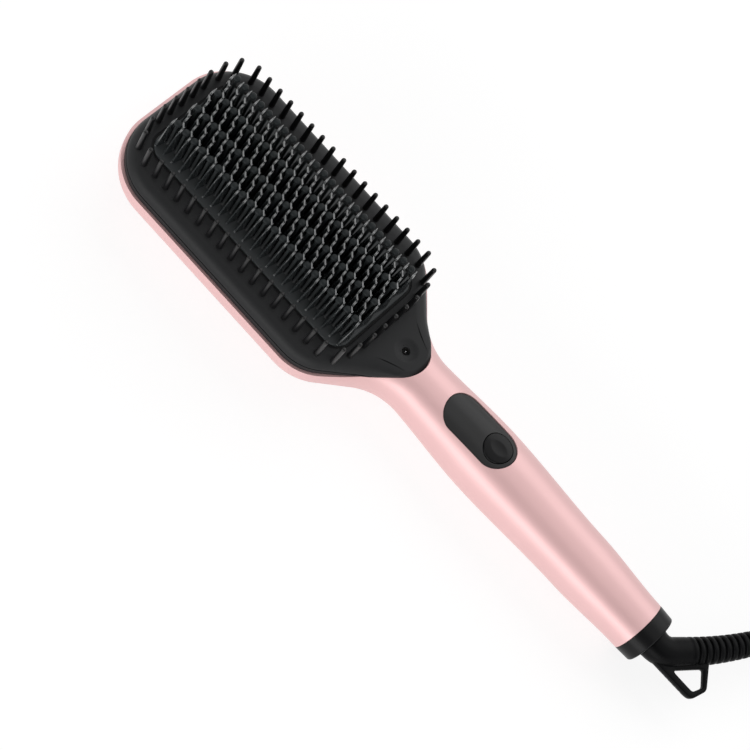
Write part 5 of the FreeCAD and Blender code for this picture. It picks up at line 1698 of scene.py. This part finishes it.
@dataclass
class Plug:
    """Mains plug: a ribbed neck, a broad body and two round pins.

    Attributes:
        place: Where the cord enters it.
        heading: The way it points.
        length: Length of the body with its neck.
        half: Half-width and half-height of the body.
        neck_start: Places along the plug and radii of the neck's closed start.
        neck_end: The same for the neck's end.
        ribs: How many ribs the neck has.
        rib_start: Place of the first rib.
        rib_pitch: Step between ribs.
        rib_rows: Places of a rib's rows, and how far each is under the neck's radius.
        neck_r: Radius of the neck where the cord enters.
        neck_taper: Growth of that radius for each mm.
        flare: Place of the body's shoulder, and its length.
        flare_half: Half-width and half-height at the shoulder's start.
        edge: Rounding of the front edge.
        edge_rows: Rows over that rounding and over the shoulder.
        round_power: Power of the neck's section.
        power: Power of the body's section.
        sides: Points round the plug.
        prong_r: Radius of a pin.
        prong_length: Its length.
        prong_side: Its distance from the middle.
        prong_tip: Shares of the radius and distances from the end, along its tip.
        prong_sides: Points round it.
    """

    place: Triple
    heading: float
    length: float = 38.0
    half: Pair = (12.5, 6.6)
    neck_start: Rows = ((0.0, 0.0), (0.0, 3.3), (0.5, 3.6))
    neck_end: Pair = (13.6, 4.4)
    ribs: int = 5
    rib_start: float = 1.0
    rib_pitch: float = 2.2
    rib_rows: Rows = ((0.0, 0.35), (0.2, 0.0), (1.2, 0.0), (1.4, 0.35))
    neck_r: float = 3.6
    neck_taper: float = 0.057
    flare: Pair = (14.0, 5.0)
    flare_half: Pair = (5.0, 4.6)
    edge: float = 1.2
    edge_rows: int = 8
    round_power: float = 2.0
    power: float = 3.4
    sides: int = 48
    prong_r: float = 2.0
    prong_length: float = 19.0
    prong_side: float = 9.3
    prong_tip: Rows = ((1.0, 1.4), (0.85, 0.5), (0.5, 0.08), (0.0, 0.0))
    prong_sides: int = 20

    def build_body(self) -> Object:
        """Body: superellipse sections, whose power grows from the round neck to the broad body.

        Returns:
            The body.
        """
        start_run, start_r = np.array(self.neck_start).T
        step, under = np.array(self.rib_rows).T
        rib_run = (np.arange(self.ribs)[:, None] * self.rib_pitch + self.rib_start + step).ravel()
        rib_r = self.neck_r + self.neck_taper * rib_run - np.tile(under, self.ribs)
        neck = np.concatenate((start_r, rib_r, self.neck_end[1:]))
        turn = quarter(self.edge_rows)
        grow, fall = np.sin(turn), 1 - np.cos(turn)
        shoulder = self.flare[0] + self.flare[1] * fall
        front = self.length - self.edge * (1 - grow)
        run = np.concatenate((start_run, rib_run, self.neck_end[:1], shoulder, front, [self.length]))
        half_y, half_z = [
            np.concatenate((neck, mix(start, full, grow), full - self.edge * fall, [0.0]))[:, None]
            for start, full in zip(self.flare_half, self.half)
        ]
        squarer = np.concatenate((np.zeros(len(neck)), grow, np.ones(len(front) + 1)))[:, None]
        power = mix(self.round_power, self.power, squarer)
        cosine, sine = ways(steps_round(self.sides)).T
        norm = (np.abs(cosine) ** power + np.abs(sine) ** power) ** (1 / power)
        grid = stacked(run[:, None], -half_y * cosine / norm, half_z * sine / norm)
        made = wrapped(turned(grid, self.heading, self.place)).piece("plug", PLUG, "brush", Crease.RIBBED)
        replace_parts(made, "plug_body")
        return made

    def build_prongs(self) -> Object:
        """Pins: a profile turned about the plug's own way, once at each side.

        Returns:
            Both pins.
        """
        end = self.length + self.prong_length
        tip = [(share * self.prong_r, back - end) for share, back in self.prong_tip]
        foot = [(0.0, -self.length), (self.prong_r, -self.length)]
        pin = revolved(foot + tip, self.prong_sides)
        laid = pin[..., (2, 0, 1)] * np.array((-1.0, -1.0, 1.0))
        sides = np.array(((0.0, -self.prong_side, 0.0), (0.0, self.prong_side, 0.0)))
        pins = repeated(turned(laid, self.heading, (0.0, 0.0, 0.0)), turned(sides, self.heading, self.place))
        made = pins.piece("plug_prongs", NICKEL, "brush")
        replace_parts(made, "plug_pins")
        return made

    def build(self) -> list[Object]:
        """Body and pins."""
        return [self.build_body(), self.build_prongs()]


@dataclass
class PowerCord:
    """Mains lead: down from the boot to the floor, into a tied coil, to its plug.

    Attributes:
        route: Control points of the lead, from the boot to the coil.
        radius: Radius of the cord.
        sides: Points round the cord.
        coil_centre: Middle of the coil.
        coil_start: Angle at which the coil starts.
        turns: Length of the coil, in turns.
        outer_r: Radius of its first turn.
        step: Step between turns and between layers.
        into: Turns of the lower layer.
        flip: Turns of the rise to the upper layer.
        lead: Turns of the way out to the plug.
        lead_growth: How far the way out moves outwards.
        base_z: Height of the lower layer.
        plug_z: Height of the plug's middle.
        per_turn: Control points on each turn.
        spline_order: Order of the cord's spline.
        spline_steps: Points between two control points.
        spline_share: Share of a control point in the spline's own place there.
        end_straight: Straight end before the plug.
        heading: The way the plug points.
        bend_reach: Length for a bend of the lead when the boot swivels; not used.
        tie_angle: Where on the coil the tie is.
        tie_half: Half of its width.
        tie_wall: Its thickness.
        tie_clear: Room between the cord and the tie.
        tie_under: Room between the lower layer and the tie.
        tie_press: How much of the room is pressed out over the upper layer.
        tie_corner: Radius of its corners.
        tie_steps: Points on each corner and on each side.
        tie_low: Its least height over the floor.
        tie_section: Corners of its section, as shares of its thickness and half-width.
    """

    route: tuple[Triple, ...] = ((245.70, 47.40, 14.5), (251.29, 60.24, 14.5), (262.31, 71.84, 9.2),
                                 (277.10, 77.96, 3.9), (317.34, 82.70, 3.9))
    radius: float = 3.0
    sides: int = 16
    coil_centre: Pair = (328.3301, 40.6955)
    coil_start: float = math.radians(96.7214)
    turns: float = 7.4909
    outer_r: float = 42.96
    step: float = 6.6
    into: float = 3.25
    flip: float = 0.5
    lead: float = 0.5
    lead_growth: float = 10.0
    base_z: float = 3.9
    plug_z: float = 7.0
    per_turn: int = 24
    spline_order: int = 3
    spline_steps: int = 10
    spline_share: float = 0.75
    end_straight: float = 6.0
    heading: float = math.radians(190.0)
    bend_reach: float = 35.0
    tie_angle: float = math.radians(200.0)
    tie_half: float = 4.0
    tie_wall: float = 0.6
    tie_clear: float = 0.4
    tie_under: float = 0.1
    tie_press: float = 0.2
    tie_corner: float = 3.2
    tie_steps: int = 10
    tie_low: float = 0.1
    tie_section: Rows = ((0.0, -0.9), (0.0, 0.9), (0.2, 1.0), (0.8, 1.0), (1.0, 0.9), (1.0, -0.9),
                         (0.8, -1.0), (0.2, -1.0))

    def coil(self) -> Array:
        """Control points of the coil: a flat spiral in, a rise to the next layer, a spiral out and a lead.

        Radius and height are piecewise functions of the turns; the radius is raised a little, because
        the spline runs inside its control points.

        Returns:
            Points, of shape (count, 3).
        """
        turn = np.linspace(0.0, self.turns, int(self.turns * self.per_turn) + 1)
        top = self.into + self.flip
        out = self.turns - self.lead
        inner = self.outer_r - self.step * self.into
        upper = self.base_z + self.step
        share = np.clip((turn - self.into) / self.flip, 0, 1)
        dip = self.step * self.flip * (share * share - share)
        wide = inner + self.step * (out - top)
        last = np.clip((turn - out) / self.lead, 0, 1)
        steady = self.step * self.lead
        grow = steady * last + (self.lead_growth - steady) * smooth(last)
        radius = np.select(
            [turn <= self.into, turn <= top, turn <= out],
            [self.outer_r - self.step * turn, inner + dip, inner + self.step * (turn - top)],
            wide + grow,
        )
        radius = radius / mix(math.cos(TURN / self.per_turn), 1.0, self.spline_share)
        height = mix(self.base_z, upper, smooth(share)) + (self.plug_z - upper) * smooth(2 * last - 1)
        way = ways(self.coil_start - TURN * turn)
        return raised(np.array(self.coil_centre) + radius[:, None] * way, height)

    def plug_place(self) -> Triple:
        """Where the cord enters the plug: the coil's last radius and angle, then a short straight end.

        Returns:
            One place on the head's axes.
        """
        outward = self.turns - self.lead - self.into - self.flip
        radius = self.outer_r + self.step * (outward - self.into) + self.lead_growth
        outside = radius * ways(self.heading + math.pi / 2)
        place = np.array(self.coil_centre) + outside + self.end_straight * ways(self.heading)
        return (*place, self.plug_z)

    def middle_line(self) -> Array:
        """Points read from the cord's own smooth spline, whose control points are the route and the coil.

        Returns:
            Points on the head's axes.
        """
        points = (np.array(self.route), self.coil(), np.array([self.plug_place()]))
        control = in_frame(np.concatenate(points))
        curve = bpy.data.curves.new("cord_route", "CURVE")
        curve.dimensions = "3D"
        spline = curve.splines.new("NURBS")
        spline.points.add(len(control) - 1)
        spline.points.foreach_set("co", np.column_stack((control, np.ones(len(control)))).ravel())
        spline.order_u = self.spline_order
        spline.use_endpoint_u = True
        spline.resolution_u = self.spline_steps
        holder = bpy.data.objects.new("cord_route", curve)
        mesh = bpy.data.meshes.new_from_object(holder)
        places = np.empty(len(mesh.vertices) * 3)
        mesh.vertices.foreach_get("co", places)
        bpy.data.objects.remove(holder)
        bpy.data.curves.remove(curve)
        bpy.data.meshes.remove(mesh)
        return places.reshape(-1, 3) / MM - HEAD_PLACE

    def build_tie(self, path: Array) -> Object:
        """Tie: a flat strap section carried round a rounded box that takes in all the loops at one place.

        Args:
            path: The cord's middle line.

        Returns:
            The tie.
        """
        offset = path[:, :2] - np.array(self.coil_centre)
        along, across = ways(self.tie_angle + np.array((0.0, math.pi / 2))) @ offset.T
        near = (along > 0) & (np.abs(across) < 2 * self.tie_half)
        away, level = np.hypot(*offset[near].T), path[near, 2]
        grow = self.radius + self.tie_clear
        low, high = away.min() - grow, away.max() + grow
        base = level.min() - self.radius - self.tie_under
        top = level.max() + grow - self.tie_press
        corners = ((low, base), (high, base), (high, top), (low, top))
        loop = rounded_polygon(corners, (self.tie_corner,) * len(corners), self.tie_steps)
        out, side = np.array(self.tie_section).T
        place = loop[:, None] + loop_normals(loop)[:, None] * (out * self.tie_wall)[None, :, None]
        strap = stacked(place[..., 0], side * self.tie_half, np.maximum(place[..., 1], self.tie_low))
        skin = wrapped(ring_closed(turned(strap, self.tie_angle, (*self.coil_centre, 0.0))))
        made = skin.piece("tie", SEAL, "brush")
        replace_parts(made, "cord_tie")
        return made

    def build(self, boot: list[Object]) -> None:
        """Lead, tie and plug; the lead runs from the boot to the coil.

        Args:
            boot: Pieces of the boot; not used.
        """
        path = self.middle_line()
        tube = swept(path, np.full(len(path), self.radius), self.sides)
        lead = wrapped(tube).piece("power_lead", CORD, None)
        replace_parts(lead, "power_cord", "cord_coil")
        others = [self.build_tie(path)] + Plug(self.plug_place(), self.heading).build()
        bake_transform(lead)


@dataclass
class InnerParts:
    """The frame's own nodes that stay, each with the finish of its slot."""

    def dress(self) -> None:
        """Give each node that the record names the finish of its material slot."""
        for node in frame["record"]["subparts"]:
            made = bpy.data.objects.get(node["node"])
            if made is None:
                continue
            made.data.materials.clear()
            made.data.materials.append(FINISHES[node["material_slot"]].material())
            LOG.info("%s: finish %s", node["node"], node["material_slot"])


@dataclass(frozen=True)
class Lamp:
    """A soft area lamp aimed at a point: place and aim in metres, size in metres, power in watts."""

    name: str
    place: Triple
    size: Pair
    power: float
    aim: Triple = (0.0, 0.0, 0.02)

    def build(self) -> None:
        """Put the lamp into the scene, its face turned to its aim."""
        light = bpy.data.lights.new(self.name, "AREA")
        light.shape = "RECTANGLE"
        light.size, light.size_y = self.size
        light.energy = self.power
        made = new_object(self.name, light)
        made.location = self.place
        toward = Vector(self.aim) - Vector(self.place)
        made.rotation_euler = toward.to_track_quat("-Z", "Y").to_euler()


def seen_rays(tree: bpy.types.NodeTree) -> bpy.types.NodeSocket:
    """Socket that is 1 for camera, glossy and transmission rays.

    Args:
        tree: Node tree to add the nodes to.

    Returns:
        The socket.
    """
    path = new_node(tree, "LightPath")
    value = path.outputs["Is Camera Ray"]
    for name in ("Is Glossy Ray", "Is Transmission Ray"):
        both = new_node(tree, "Math")
        both.operation = "MAXIMUM"
        tree.links.new(value, both.inputs[0])
        tree.links.new(path.outputs[name], both.inputs[1])
        value = both.outputs[0]
    return value


def choose_seen(tree: bpy.types.NodeTree, hidden: bpy.types.Node, seen: bpy.types.Node, out: str) -> None:
    """Send one shader to the rays that see, another to the rest, and the choice to the tree's output.

    Args:
        tree: Node tree of a world or a material.
        hidden: Shader for the rays that only light.
        seen: Shader for the rays that see.
        out: Type of the output node.
    """
    choose, end = new_node(tree, "MixShader"), new_node(tree, out)
    tree.links.new(seen_rays(tree), choose.inputs[0])
    tree.links.new(hidden.outputs[0], choose.inputs[1])
    tree.links.new(seen.outputs[0], choose.inputs[2])
    tree.links.new(choose.outputs[0], end.inputs[0])


def card(name: str, corners: list[Triple], material: bpy.types.Material) -> Object:
    """A flat sheet between four corners.

    Args:
        name: Name of the object.
        corners: Its corners in metres, in order.
        material: Its material.

    Returns:
        The sheet.
    """
    mesh = bpy.data.meshes.new(name)
    mesh.from_pydata(corners, [], [(0, 1, 2, 3)])
    mesh.materials.append(material)
    return new_object(name, mesh)


def grey(tone: float) -> tuple[float, float, float, float]:
    """A grey as a colour with full cover."""
    return (tone, tone, tone, 1.0)


@dataclass
class Studio:
    """White table, soft lamps and the camera at the photograph's angle.

    Places and sizes are in metres, the lens and its sensor in mm. The floor has one tone for the light that
    it passes on, and another with a glow of its own where it is seen. The flag is a dark card.
    """

    camera_place: Triple = (0.00542, -0.31822, 0.64638)
    right: Triple = (0.6738, 0.6694, 0.3129)
    down: Triple = (0.7387, -0.6000, -0.3070)
    forward: Triple = (-0.0177, 0.4380, -0.8988)
    lens: float = 90.94
    sensor: float = 36.0
    floor_half: float = 3.0
    floor_z: float = -1e-4
    floor_matt: float = 0.85
    floor_seen: float = 0.3
    floor_glow: float = 0.8
    fill: float = 0.4
    lamps: tuple[Lamp, ...] = (
        Lamp("lamp_top", (0.0, 1.02, 0.92), (1.8, 1.1), 8.0),
        Lamp("lamp_left", (0.0, -1.3, 0.3), (2.4, 0.6), 13.0),
    )
    flag_place: Triple = (0.0, -0.97, 1.08)
    flag_half: Pair = (1.8, 0.62)
    flag_tone: float = 0.02

    def build_camera(self) -> None:
        """Camera with the photograph's place, turn and lens."""
        data = bpy.data.cameras.new("camera")
        data.lens = self.lens
        data.sensor_width = self.sensor
        made = new_object("camera", data)
        axes = np.column_stack((self.right, -np.array(self.down), -np.array(self.forward)))
        turn = Matrix(axes.tolist()).to_quaternion().to_matrix().to_4x4()
        made.matrix_world = Matrix.Translation(self.camera_place) @ turn
        bpy.context.scene.camera = made

    def build_world(self) -> None:
        """World that is white to the camera and in reflections, and a soft fill to the rest."""
        world = bpy.data.worlds.new("studio")
        bpy.context.scene.world = world
        world.use_nodes = True
        tree = world.node_tree
        tree.nodes.clear()
        fill = new_node(tree, "Background", Color=WHITE, Strength=self.fill)
        white = new_node(tree, "Background", Color=WHITE)
        choose_seen(tree, fill, white, "OutputWorld")

    def build_floor(self) -> None:
        """White floor: part of its white is its own, so that a soft shadow stays on it."""
        made = bpy.data.materials.new("floor_white")
        made.use_nodes = True
        tree = made.node_tree
        tree.nodes.clear()
        matt = new_node(tree, "BsdfDiffuse", Color=grey(self.floor_matt))
        seen = new_node(tree, "BsdfDiffuse", Color=grey(self.floor_seen))
        glow = new_node(tree, "Emission", Strength=self.floor_glow)
        both = new_node(tree, "AddShader")
        tree.links.new(seen.outputs[0], both.inputs[0])
        tree.links.new(glow.outputs[0], both.inputs[1])
        choose_seen(tree, matt, both, "OutputMaterial")
        size = self.floor_half
        plan = ((-size, -size), (size, -size), (size, size), (-size, size))
        floor = card("floor", [(*corner, self.floor_z) for corner in plan], made)

    def build_flag(self) -> None:
        """Dark card on the camera's side, seen in reflections alone, square to its line to the object."""
        made = bpy.data.materials.new("flag_dark")
        made.use_nodes = True
        made.node_tree.nodes["Principled BSDF"].inputs["Base Color"].default_value = grey(self.flag_tone)
        level = Vector((1.0, 0.0, 0.0))
        upper = Vector(self.flag_place).normalized().cross(level)
        wide, tall = level * self.flag_half[0], upper * self.flag_half[1]
        signs = ((-1, -1), (1, -1), (1, 1), (-1, 1))
        flag = card("flag", [Vector(self.flag_place) + wide * x + tall * y for x, y in signs], made)
        flag.visible_camera = False
        flag.visible_diffuse = False
        flag.visible_shadow = False
        flag.visible_transmission = False

    def build(self) -> None:
        """Camera, world, floor, dark card and lamps."""
        bpy.context.scene.view_settings.view_transform = "Standard"
        self.build_camera()
        self.build_world()
        self.build_floor()
        self.build_flag()
        for lamp in self.lamps:
            lamp.build()


def main() -> None:
    """Build every sub-assembly in order."""
    logging.basicConfig(level=logging.INFO, format="%(name)s: %(message)s")
    Studio().build()
    PowerCord().build(CordBoot().build())
    Case().build()
    Bezel().build()
    ToothField().build()
    GuardRing().build()
    ControlPanel().build()
    EndCollar().build()
    InnerParts().dress()


if __name__ == "__main__":
    main()
